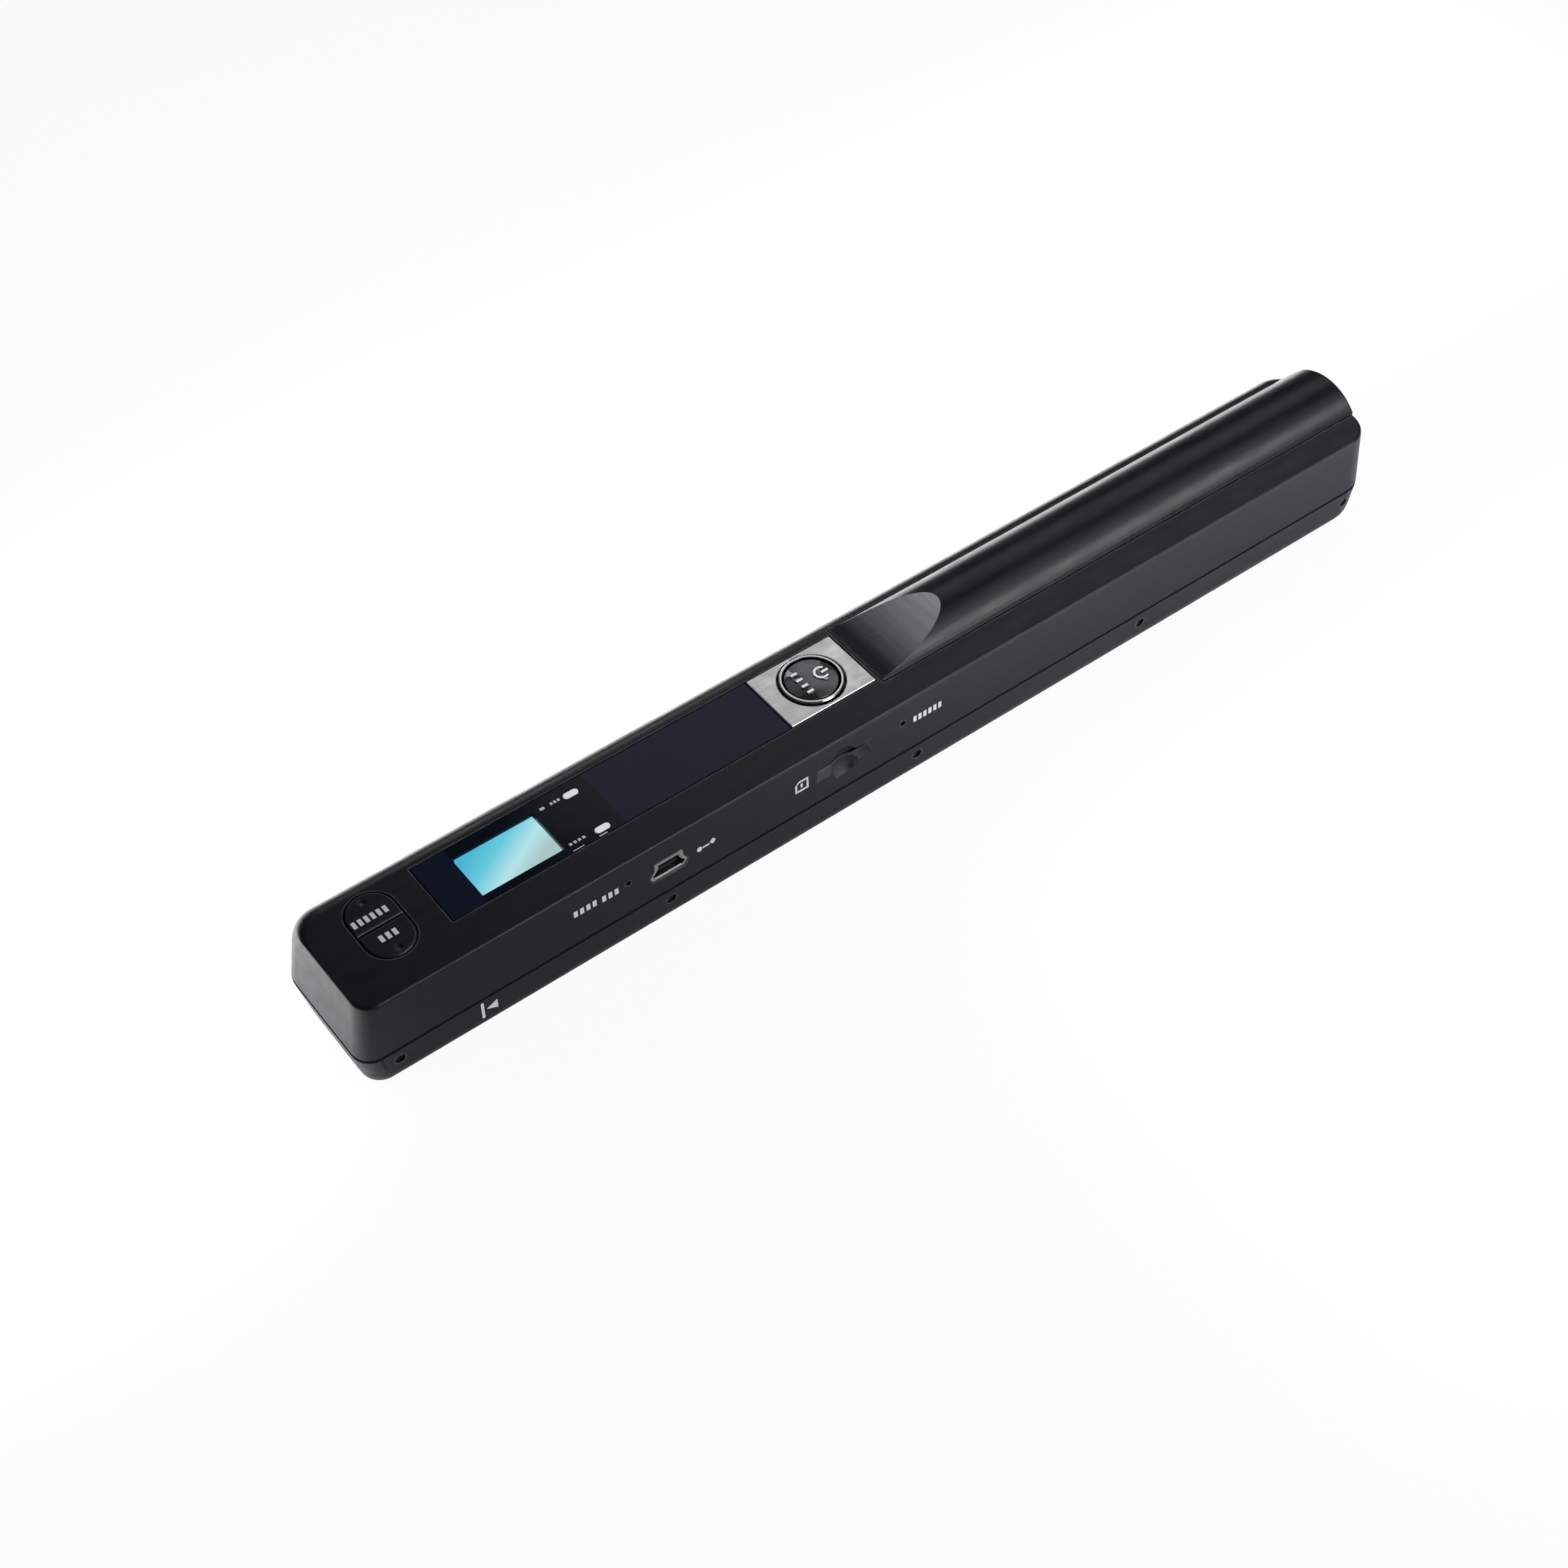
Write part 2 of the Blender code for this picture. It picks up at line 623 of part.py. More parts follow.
def usb_outline(grow):
    """Narrow side up, widest near the bottom, with slanted lower corners."""
    half = ((USB_LOW_HALF, USB_BOTTOM - grow), (USB_WIDE_HALF, USB_Z - USB_CORNER_DROP),
            (USB_WIDE_HALF, USB_Z - USB_WIDE_DROP), (USB_NECK_HALF, USB_Z + USB_NECK_RISE),
            (USB_TOP_HALF, USB_TOP + grow))
    right = [(USB_X + wide + grow, z) for wide, z in half]
    left = [(USB_X - wide - grow, z) for wide, z in reversed(half)]
    return right + left


def rectangle(centre, length, height):
    u, v = centre
    return [(u - length / 2, v - height / 2), (u + length / 2, v - height / 2),
            (u + length / 2, v + height / 2), (u - length / 2, v + height / 2)]


def card_mouth():
    """Funnel in the front wall that narrows to the card slit."""
    mouth = rectangle((CARD_X, CARD_Z), CARD_MOUTH_LENGTH, CARD_MOUTH_HEIGHT)
    slit = rectangle((CARD_X, CARD_SLIT_Z), CARD_SLIT_LENGTH, CARD_SLIT_HEIGHT)
    face_y = -(CASE_WIDTH + DECK_WIDTH) / 4
    throat_y = face_y + CARD_MOUTH_DEPTH
    flare = CARD_MOUTH_HEIGHT / 2
    wide = rectangle((CARD_X, CARD_Z), CARD_MOUTH_LENGTH + flare, CARD_MOUTH_HEIGHT + flare)
    return loft([[Vector((u, y, v)) for u, v in outline] for y, outline in (
        (face_y - CARD_MOUTH_DEPTH / 2, wide), (face_y, mouth), (throat_y, slit),
        (-INNER_WALL_Y + OVERRUN, slit))])


def card_dish():
    ball = (CARD_DISH_RADIUS ** 2 + CARD_DISH_DEPTH ** 2) / (2 * CARD_DISH_DEPTH)
    face_y = -(CASE_WIDTH + DECK_WIDTH) / 4
    dish = bmesh.new()
    bmesh.ops.create_uvsphere(dish, u_segments=28, v_segments=20, radius=ball)
    centre_y = face_y + CARD_DISH_DEPTH - ball
    bmesh.ops.translate(dish, vec=(CARD_X, centre_y, CARD_Z), verts=dish.verts)
    return dish


def bar(axis_low, axis_high, half, low_z, high_z):
    """Box along X, centred on the grip's middle plane."""
    return box((axis_low, DOOR_CENTRE_Y - half, low_z), (axis_high, DOOR_CENTRE_Y + half, high_z))


def make_upper_case(mat):
    shell = place("upper_case", loft(upper_rings(0.0, UPPER_BOTTOM, DECK_Z, BACK_FILLET, DECK_EDGE)), mat)
    cut(shell, loft(upper_rings(WALL, UPPER_BOTTOM - OVERRUN, DECK_BOTTOM,
                                BACK_FILLET - WALL, DECK_EDGE)))
    end = CASE_LENGTH / 2 - WALL / 2
    ledge_low = DECK_BOTTOM - LEDGE_THICK
    additions = [bar(DOOR_LEFT - WALL, end, LEDGE_REACH, ledge_low, DECK_BOTTOM + GAP)]
    for x, side in latch_places():
        half = LATCH_WIDTH / 2
        hook = ((LATCH_INNER_Y, LATCH_BOTTOM), (LATCH_OUTER_Y, LATCH_BOTTOM),
                (LATCH_OUTER_Y, LATCH_ROOT_Z), (INNER_WALL_Y + GAP, LATCH_ROOT_Z),
                (INNER_WALL_Y + GAP, LATCH_TOP), (LATCH_INNER_Y, LATCH_TOP))
        additions.append(prism([(side * y, z) for y, z in hook], "X", x - half, x + half))
        nib = sorted((side * (LATCH_INNER_Y + GAP), side * (CASE_WIDTH / 2 - LATCH_NIB_SINK)))
        additions.append(rod(LATCH_HOLE / 2 - GAP / 2, "Y", nib[0], nib[1], (x, LATCH_NIB_Z), 16))
    for x, y in screw_places():
        additions.append(rod(BOSS_RADIUS, "Z", BOSS_SPLIT + GAP, BOSS_TOP, (x, y)))
        reach = sorted((y, math.copysign(INNER_WALL_Y + GAP, y)))
        additions.append(box((x - BOSS_WEB / 2, reach[0], UPPER_BOTTOM + LIP_HEIGHT),
                             (x + BOSS_WEB / 2, reach[1], BOSS_TOP - GAP)))
    for x in PEG_XS:
        for side in (-1, 1):
            additions.append(rod(PEG_RADIUS, "Z", BOARD_TOP + GAP, DECK_BOTTOM + GAP,
                                 (x, side * (PEG_Y - PEG_RADIUS)), 12))
    add(shell, *additions)
    past_end = CASE_LENGTH / 2 + OVERRUN
    pocket = box((PANEL_LEFT - GAP, PANEL_FRONT - GAP, POCKET_FLOOR),
                 (PLATE_RIGHT + GAP, PANEL_BACK + GAP, DECK_Z + OVERRUN))
    display = box((LCD_X - LCD_LENGTH / 2 - GAP, LCD_Y - LCD_WIDTH / 2 - GAP, DECK_BOTTOM - OVERRUN),
                  (LCD_X + LCD_LENGTH / 2 + GAP, LCD_Y + LCD_WIDTH / 2 + GAP, DECK_Z))
    button_hole = rod(BUTTON_RADIUS + GAP, "Z", DECK_BOTTOM - OVERRUN, DECK_Z, (BUTTON_X, BUTTON_Y), 40)
    cuts = [pocket, display, button_hole]
    for y in LAMP_YS:
        slot = stadium((y, LAMP_X), LAMP_LENGTH + 2 * GAP, LAMP_WIDTH + 2 * GAP)
        cuts.append(prism([(v, u) for u, v in slot], "Z", DECK_BOTTOM - OVERRUN, DECK_Z))
    keys_hole = stadium((KEYS_X, KEYS_MIDDLE_Y), KEYS_BACK - KEYS_FRONT, KEYS_WIDTH, 14)
    cuts.append(prism(keys_hole, "Z", DECK_BOTTOM - OVERRUN, DECK_Z + OVERRUN))
    cuts.append(bar(DOOR_LEFT - GAP, past_end, DOOR_HALF + GAP, DECK_BOTTOM, DECK_Z + OVERRUN))
    cuts.append(bar(CRADLE_LEFT + CRADLE_END_WALL, CRADLE_RIGHT - CRADLE_END_WALL, BAY_HALF,
                    ledge_low - OVERRUN, DECK_Z))
    cuts.append(prism(usb_outline(GAP), "Y", -WALL_RUN, -LATCH_INNER_Y))
    cuts.append(card_mouth())
    cuts.append(card_dish())
    for x in (CLOCK_PIN_X, WIPE_PIN_X):
        cuts.append(rod(PIN_HOLE / 2, "Y", -WALL_RUN, -LATCH_INNER_Y, (x, PIN_Z), 16))
    for x, y in screw_places():
        cuts.append(rod(SCREW_SHANK + SEAT_GAP, "Z", BOSS_SPLIT, SCREW_TIP + GAP, (x, y), 12))
    cut(shell, *cuts)
    return shell


# Lower casing

def lower_rings(inset, floor, top, rounding):
    """Rings of the lower shell: round long edges, ends that slant in towards the base."""
    half_low = CASE_WIDTH / 2 - inset
    rings = []
    heights = [floor + rounding * (1 - math.cos(math.pi / 2 * k / FILLET_STEPS))
               for k in range(FILLET_STEPS + 1)]
    heights.append(top)
    for z in heights:
        slant_share = min((SEAM_Z - z) / (SEAM_Z - BASE_Z), 1.0)
        half_x = (CASE_LENGTH - (CASE_LENGTH - BASE_LENGTH) * slant_share) / 2 - inset
        drop = min(max(floor + rounding - z, 0.0), rounding)
        half_y = half_low - round_inset(rounding, drop)
        rings.append(rounded_ring(-half_x, half_x, -half_y, half_y, inset, z))
    return rings


def lip_ring(inset, z):
    half_x = CASE_LENGTH / 2 - inset
    half_y = CASE_WIDTH / 2 - inset
    return rounded_ring(-half_x, half_x, -half_y, half_y, inset, z)


def axle_post(x, y, length, top):
    half = POST_WIDTH / 2
    return box((x - length / 2, y - half, FLOOR_Z - GAP), (x + length / 2, y + half, top))


def make_lower_case(mat):
    shell = place("lower_case", loft(lower_rings(0.0, BASE_Z, SEAM_Z, LONG_EDGE)), mat)
    cut(shell, loft(lower_rings(WALL, FLOOR_Z, SEAM_Z + OVERRUN, LONG_EDGE - WALL)))
    lip_outer = WALL + GAP
    lip_low = SEAM_Z - LIP_HEIGHT
    lip_high = SEAM_Z + LIP_HEIGHT
    lip = place("lip_tool", loft([lip_ring(WALL - GAP, lip_low), lip_ring(WALL - GAP, SEAM_Z - GAP),
                                  lip_ring(lip_outer, SEAM_Z), lip_ring(lip_outer, lip_high)]), mat)
    lip.hide_render = True
    lip.display_type = "WIRE"
    inner = lip_outer + LIP_THICK
    cut(lip, loft([lip_ring(inner, lip_low - OVERRUN), lip_ring(inner, lip_high + OVERRUN)]))
    union = shell.modifiers.new("lip", "BOOLEAN")
    union.operation = "UNION"
    union.solver = "EXACT"
    union.object = lip
    additions = []
    for side in (-1, 1):
        additions.append(box((-RAIL_LENGTH / 2, side * RAIL_Y - RAIL_WIDTH / 2, 0.0),
                             (RAIL_LENGTH / 2, side * RAIL_Y + RAIL_WIDTH / 2, BASE_Z + GAP)))
        additions.append(axle_post(BUSH_LEFT_X, side * AXLE_Y, BUSH_LENGTH, POST_TOP))
    additions.append(axle_post(BUSH_RIGHT_X, -AXLE_Y, BUSH_LENGTH, POST_TOP))
    additions.append(axle_post(BUSH_RIGHT_X, AXLE_Y, BUSH_LENGTH, SPINDLE_POST_TOP))
    additions.append(axle_post(SPINDLE_POST_X, AXLE_Y, SPINDLE_POST_THICK, SPINDLE_POST_TOP))
    for x, y in screw_places():
        additions.append(rod(POST_RADIUS, "Z", FLOOR_Z - GAP, BOSS_SPLIT, (x, y)))
    for x in PEG_XS:
        for side in (-1, 1):
            additions.append(rod(PEG_RADIUS, "Z", FLOOR_Z - GAP, BOARD_BOTTOM - GAP,
                                 (x, side * (PEG_Y + PEG_RADIUS / 4)), 12))
    add(shell, *additions)
    cuts = [box((-GLASS_LENGTH / 2 - GAP, -GLASS_WIDTH / 2 - GAP, -OVERRUN),
                (GLASS_LENGTH / 2 + GAP, GLASS_WIDTH / 2 + GAP, FLOOR_Z + GAP))]
    clear_radius = TYRE_RADIUS + GAP
    for side in (-1, 1):
        centre = (side * AXLE_Y, AXLE_Z)
        for end in (-1, 1):
            middle = end * TYRE_MIDDLE_X
            reach = TYRE_LENGTH / 2 + GAP
            cuts.append(rod(clear_radius, "X", middle - reach, middle + reach, centre, 28))
            bush_x = BUSH_LEFT_X if end < 0 else BUSH_RIGHT_X
            reach = BUSH_LENGTH / 2 + OVERRUN / 4
            cuts.append(rod(BUSH_RADIUS + SEAT_GAP, "X", bush_x - reach, bush_x + reach, centre))
    gear_clear = GEAR_PITCH + GEAR_MODULE + GAP
    reach = GEAR_WIDTH / 2 + GAP
    cuts.append(rod(gear_clear, "X", GEAR_X - reach, GEAR_X + reach, (AXLE_Y, AXLE_Z), 24))
    bearing = SPINDLE_RADIUS + RUN_GAP
    cuts.append(rod(bearing, "X", BUSH_RIGHT_X - BUSH_LENGTH, SPINDLE_POST_X + SPINDLE_POST_THICK,
                    (AXLE_Y, SPINDLE_Z), 24))
    eye_half = EYE_WIDTH / 2 + GAP
    cuts.append(box((DISC_X - eye_half, LATCH_INNER_Y - EYE_REACH, lip_low - OVERRUN),
                    (DISC_X + eye_half, INNER_WALL_Y + GAP / 2, lip_high + GAP)))
    for x, y in screw_places():
        cuts.append(rod(SCREW_SHANK + SEAT_GAP, "Z", -OVERRUN, BOSS_SPLIT + GAP, (x, y), 12))
        cuts.append(rod(SCREW_HEAD + SEAT_GAP, "Z", -OVERRUN, SCREW_HEAD_TOP + SEAT_GAP, (x, y)))
        cuts.append(rod(BOSS_RADIUS + GAP, "Z", BOSS_SPLIT, lip_high + GAP, (x, y)))
    for x, side in latch_places():
        half = LATCH_WIDTH / 2 + GAP
        hole = sorted((side * LATCH_INNER_Y, side * WALL_RUN))
        cuts.append(rod(LATCH_HOLE / 2, "Y", hole[0], hole[1], (x, LATCH_NIB_Z), 16))
        notch = sorted((side * (INNER_WALL_Y + GAP / 2), side * (LATCH_INNER_Y - GAP)))
        cuts.append(box((x - half, notch[0], LATCH_BOTTOM - GAP), (x + half, notch[1], lip_high + GAP)))
    cut(shell, *cuts)
    return shell


# Battery door

def ramp_height(x):
    """Height of the scooped thumb ramp, which reaches the crown at its end."""
    run = x - DOOR_LEFT
    rise = DOOR_CROWN_Z - DECK_Z - RAMP_LIP
    curl = (rise - RAMP_START_SLOPE * RAMP_LENGTH) / RAMP_LENGTH ** 2
    return DECK_Z + RAMP_LIP + RAMP_START_SLOPE * run + curl * run * run


def door_section(x, inset, bottom, cap_z):
    """Section of the grip: straight skirts under a shallow arc, drawn in by inset."""
    radius = DOOR_RADIUS - inset
    half = DOOR_HALF - inset
    points = [Vector((x, DOOR_CENTRE_Y - half, bottom))]
    reach = math.asin(min(half / radius, 1.0))
    for k in range(DOOR_ARC_STEPS + 1):
        angle = reach * (2 * k / DOOR_ARC_STEPS - 1)
        z = DOOR_ARC_Z + radius * math.cos(angle)
        points.append(Vector((x, DOOR_CENTRE_Y + radius * math.sin(angle), min(z, cap_z))))
    points.append(Vector((x, DOOR_CENTRE_Y + half, bottom)))
    return points


def make_battery_door(mat):
    rings = [door_section(DOOR_LEFT, 0.0, DOOR_BOTTOM, DOOR_CROWN_Z)]
    steps = 4
    for k in range(steps + 1):
        angle = math.pi / 2 * k / steps
        x = DOOR_RIGHT - DOOR_END_EDGE * (1 - math.sin(angle))
        rings.append(door_section(x, DOOR_END_EDGE * (1 - math.cos(angle)), DOOR_BOTTOM, DOOR_CROWN_Z))
    door = place("battery_door", loft(rings), mat)
    scoop = [(DOOR_LEFT - OVERRUN, DOOR_CROWN_Z + OVERRUN)]
    scoop.append((DOOR_LEFT - OVERRUN, ramp_height(DOOR_LEFT)))
    for k in range(RAMP_STEPS + 2):
        x = DOOR_LEFT + RAMP_LENGTH * k / RAMP_STEPS
        scoop.append((x, ramp_height(x)))
    scoop.append((scoop[-1][0], DOOR_CROWN_Z + OVERRUN))
    reach = DOOR_HALF + OVERRUN
    cut(door, prism(scoop, "Y", DOOR_CENTRE_Y - reach, DOOR_CENTRE_Y + reach))
    inner = []
    hollow_start = DOOR_LEFT + DOOR_WALL
    for k in range(RAMP_STEPS + 1):
        x = hollow_start + (RAMP_LENGTH + DOOR_WALL) * k / RAMP_STEPS
        inner.append(door_section(x, DOOR_WALL, DOOR_BOTTOM - OVERRUN, ramp_height(x) - DOOR_WALL))
    inner.append(door_section(DOOR_RIGHT - DOOR_END_WALL, DOOR_WALL, DOOR_BOTTOM - OVERRUN, DOOR_CROWN_Z))
    cut(door, loft(inner))
    return door


# Deck pieces

def make_fascia(mat):
    panel = place("fascia_panel", box((PANEL_LEFT, PANEL_FRONT, DECK_Z - PANEL_THICK),
                                      (PANEL_RIGHT, PANEL_BACK, DECK_Z)), mat)
    cuts = [box((LCD_X - LCD_LENGTH / 2 - GAP, LCD_Y - LCD_WIDTH / 2 - GAP, POCKET_FLOOR - OVERRUN),
                (LCD_X + LCD_LENGTH / 2 + GAP, LCD_Y + LCD_WIDTH / 2 + GAP, DECK_Z + OVERRUN))]
    for y in LAMP_YS:
        slot = stadium((y, LAMP_X), LAMP_LENGTH + GAP, LAMP_WIDTH + GAP)
        cuts.append(prism([(v, u) for u, v in slot], "Z", POCKET_FLOOR - OVERRUN, DECK_Z + OVERRUN))
    return cut(panel, *cuts)


def make_display(glass, frame):
    top = DECK_Z - LCD_SINK
    low = (LCD_X - LCD_LENGTH / 2, LCD_Y - LCD_WIDTH / 2, top - LCD_THICK)
    high = (LCD_X + LCD_LENGTH / 2, LCD_Y + LCD_WIDTH / 2, top)
    place("lcd_glass", box(low, high), glass)
    half_x = LCD_LENGTH / 2 + HOLDER_RIM
    half_y = LCD_WIDTH / 2 + HOLDER_RIM
    holder_top = min(low[2], DECK_BOTTOM) - GAP
    holder = place("lcd_holder", box((LCD_X - half_x, LCD_Y - half_y, BOARD_TOP + GAP),
                                     (LCD_X + half_x, LCD_Y + half_y, holder_top)), frame)
    cut(holder, box((LCD_X - half_x + HOLDER_RIM, LCD_Y - half_y + HOLDER_RIM, holder_top - HOLDER_POCKET),
                    (LCD_X + half_x - HOLDER_RIM, LCD_Y + half_y - HOLDER_RIM, holder_top + OVERRUN)))


def make_light_pipes(mat):
    bottom = BOARD_TOP + LAMP_DIODE_HEIGHT + GAP
    for name, y in zip(("scan_light_pipe", "status_light_pipe"), LAMP_YS):
        outline = [(v, u) for u, v in stadium((y, LAMP_X), LAMP_LENGTH, LAMP_WIDTH)]
        place(name, prism(outline, "Z", bottom, DECK_Z), mat)


def button_marks(low, high):
    """Raised row of short bars, and beside it an open ring with a bar through its gap."""
    pieces = []
    row_x = BUTTON_X - MARK_ROW_SHIFT
    for k in range(MARK_COUNT):
        y = BUTTON_Y + (k - (MARK_COUNT - 1) / 2) * MARK_PITCH
        pieces.append(box((row_x - MARK_HEIGHT / 2, y - MARK_WIDTH / 2, low),
                          (row_x + MARK_HEIGHT / 2, y + MARK_WIDTH / 2, high)))
    sign_x = BUTTON_X + SIGN_SHIFT
    outline = []
    for radius, order in ((SIGN_RADIUS, 1), (SIGN_RADIUS - MARK_WIDTH, -1)):
        for k in range(SIGN_STEPS + 1)[::order]:
            angle = 2 * math.pi * (SIGN_GAP_SHARE / 2 + (1 - SIGN_GAP_SHARE) * k / SIGN_STEPS)
            outline.append((sign_x + radius * math.cos(angle), BUTTON_Y + radius * math.sin(angle)))
    pieces.append(prism(outline, "Z", low, high))
    pieces.append(box((sign_x, BUTTON_Y - MARK_WIDTH / 2, low),
                      (sign_x + SIGN_RADIUS, BUTTON_Y + MARK_WIDTH / 2, high)))
    return pieces


def make_scan_button(silver, chrome, dark, plastic):
    plate = place("scan_plate", box((PLATE_LEFT, PANEL_FRONT, DECK_Z - PANEL_THICK + PLATE_RISE),
                                    (PLATE_RIGHT, PANEL_BACK, DECK_Z + PLATE_RISE)), silver)
    ring_inner = BUTTON_RADIUS + GAP
    ring_outer = ring_inner + RING_THICK
    centre = (BUTTON_X, BUTTON_Y)
    cut(plate, rod(ring_outer + RING_TO_PLATE, "Z", POCKET_FLOOR - OVERRUN, DECK_Z + OVERRUN, centre, 48))
    bottom = POCKET_FLOOR + GAP
    top = DECK_Z + RING_RISE
    round_over = RING_THICK / 3
    ring = place("button_ring", turned(((bottom, ring_outer), (top - round_over, ring_outer),
                                        (top, ring_outer - round_over)), "Z", centre, 48), chrome)
    cut(ring, turned(((bottom - OVERRUN, ring_inner), (top - round_over, ring_inner),
                      (top + GAP, ring_inner + round_over)), "Z", centre, 48))
    crown = DECK_Z + BUTTON_RISE
    edge = crown - BUTTON_DOME
    flange_top = DECK_BOTTOM - GAP
    flange_low = flange_top - FLANGE_THICK
    profile = ((flange_low, BUTTON_RADIUS + FLANGE), (flange_top, BUTTON_RADIUS + FLANGE),
               (flange_top, BUTTON_RADIUS), (edge - BUTTON_DOME, BUTTON_RADIUS),
               (edge, BUTTON_RADIUS - BUTTON_DOME),
               (edge + BUTTON_DOME / 2, BUTTON_RADIUS * BUTTON_CROWN_SHARES[0]),
               (crown, BUTTON_RADIUS * BUTTON_CROWN_SHARES[1]))
    button = place("scan_button", turned(profile, "Z", centre, 40), dark)
    add(button, rod(STEM_RADIUS, "Z", STEM_BOTTOM, flange_low + GAP, (BUTTON_X, SCAN_SWITCH_Y)))
    add(button, *button_marks(edge, crown + MARK_RISE))
    plunger = make_switch("scan", (BUTTON_X, SCAN_SWITCH_Y), dark, plastic)
    carry(pivot("scan_button_axis", (BUTTON_X, BUTTON_Y, DECK_Z)), button, plunger)


def make_switch(name, centre, body_mat, plunger_mat):
    """Push switch on the board; its plunger stands in a well and moves with what presses it."""
    half = SWITCH_SIDE / 2
    body = place(name + "_switch", box((centre[0] - half, centre[1] - half, BOARD_TOP + GAP),
                                       (centre[0] + half, centre[1] + half, SWITCH_TOP)), body_mat)
    cut(body, rod(PLUNGER_RADIUS + GAP, "Z", SWITCH_TOP - PLUNGER_WELL, SWITCH_TOP + OVERRUN, centre, 16))
    return place(name + "_plunger", rod(PLUNGER_RADIUS, "Z", SWITCH_TOP - PLUNGER_DEPTH,
                                        SWITCH_TOP + PLUNGER_RISE, centre, 16), plunger_mat)


def key_outline(side, grow):
    """Half of the stadium opening, back half for side 1 and front half for side -1."""
    radius = KEYS_WIDTH / 2 - GAP + grow
    tip = KEYS_BACK if side > 0 else KEYS_FRONT
    centre_y = tip - side * KEYS_WIDTH / 2
    split = KEYS_SPLIT_Y + side * (GAP / 2 - min(grow, 0.0))
    points = [(KEYS_X + radius, split)]
    steps = 16
    for k in range(steps + 1):
        angle = math.pi * k / steps
        points.append((KEYS_X + radius * math.cos(angle), centre_y + side * radius * math.sin(angle)))
    points.append((KEYS_X - radius, split))
    return points


def make_key(name, side, mat, dark, plastic):
    top = DECK_Z + KEY_RISE
    flange_top = DECK_BOTTOM - GAP
    flange_low = flange_top - FLANGE_THICK
    rings = [[Vector((u, v, z)) for u, v in key_outline(side, grow)]
             for z, grow in ((flange_top - GAP, 0.0), (top - KEY_EDGE, 0.0), (top, -KEY_EDGE))]
    key = place(name, loft(rings), mat)
    tip = KEYS_BACK if side > 0 else KEYS_FRONT
    middle = (tip + KEYS_SPLIT_Y) / 2
    add(key, prism(key_outline(side, FLANGE), "Z", flange_low, flange_top),
        rod(STEM_RADIUS, "Z", STEM_BOTTOM, flange_low + GAP, (KEYS_X, middle), 16))
    ball = bmesh.new()
    bmesh.ops.create_uvsphere(ball, u_segments=16, v_segments=12, radius=DIMPLE_BALL)
    height = top + DIMPLE_BALL - DIMPLE_DEPTH
    bmesh.ops.translate(ball, vec=(KEYS_X, tip - side * DIMPLE_INSET, height), verts=ball.verts)
    cut(key, ball)
    plunger = make_switch(name, (KEYS_X, middle), dark, plastic)
    carry(pivot(name + "_axis", (KEYS_X, middle, DECK_Z)), key, plunger)


# Sockets and recessed switches in the front wall

def make_usb(metal, plastic):
    back = USB_FRONT_Y + USB_DEPTH
    shell = place("usb_shell", prism(usb_outline(-SEAT_GAP), "Y", USB_FRONT_Y, back), metal)
    cut(shell, prism(usb_outline(-SEAT_GAP - USB_WALL), "Y", USB_FRONT_Y - OVERRUN, back + OVERRUN))
    block = place("usb_tongue", prism(usb_outline(-SEAT_GAP - USB_WALL - SEAT_GAP), "Y",
                                      back - USB_DEPTH / 3, back + GAP), plastic)
    half = USB_TONGUE_WIDTH / 2
    add(block, box((USB_X - half, USB_FRONT_Y + GAP, USB_Z - USB_TONGUE_THICK / 2),
                   (USB_X + half, back - USB_DEPTH / 6, USB_Z + USB_TONGUE_THICK / 2)))


def make_card_socket(mat):
    bottom = BOARD_TOP + GAP
    top = CARD_SLIT_Z + CARD_SLIT_HEIGHT / 2 + CARD_SOCKET_ROOF
    socket = place("card_socket", box((CARD_X - CARD_SOCKET_LENGTH / 2, CARD_SOCKET_FRONT_Y, bottom),
                                      (CARD_X + CARD_SOCKET_LENGTH / 2,
                                       CARD_SOCKET_FRONT_Y + CARD_SOCKET_DEPTH, top)), mat)
    half = CARD_SLIT_LENGTH / 2
    cut(socket, box((CARD_X - half, CARD_SOCKET_FRONT_Y - OVERRUN, CARD_SLIT_Z - CARD_SLIT_HEIGHT / 2),
                    (CARD_X + half, CARD_SOCKET_FRONT_Y + CARD_SOCKET_DEPTH - CARD_SOCKET_BACK,
                     CARD_SLIT_Z + CARD_SLIT_HEIGHT / 2)))


def make_pin_switch(name, x, body_mat, plunger_mat):
    """Side-pressed switch behind a pinhole; its plunger moves towards +Y."""
    half = SIDE_SWITCH_LENGTH / 2
    back = SIDE_SWITCH_FRONT_Y + SIDE_SWITCH_DEPTH
    top = PIN_Z + half / 2
    body = place(name + "_switch", box((x - half, SIDE_SWITCH_FRONT_Y, BOARD_TOP + GAP),
                                       (x + half, back, top)), body_mat)
    well = SIDE_SWITCH_FRONT_Y + SIDE_SWITCH_DEPTH / 2
    cut(body, rod(SIDE_PLUNGER_RADIUS + GAP, "Y", SIDE_SWITCH_FRONT_Y - OVERRUN, well, (x, PIN_Z), 14))
    plunger = place(name + "_plunger", rod(SIDE_PLUNGER_RADIUS, "Y", SIDE_SWITCH_FRONT_Y - SIDE_PLUNGER_REACH,
                                           well - SIDE_TRAVEL - GAP, (x, PIN_Z), 14), plunger_mat)
    carry(pivot(name + "_axis", (x, SIDE_SWITCH_FRONT_Y, PIN_Z)), plunger)


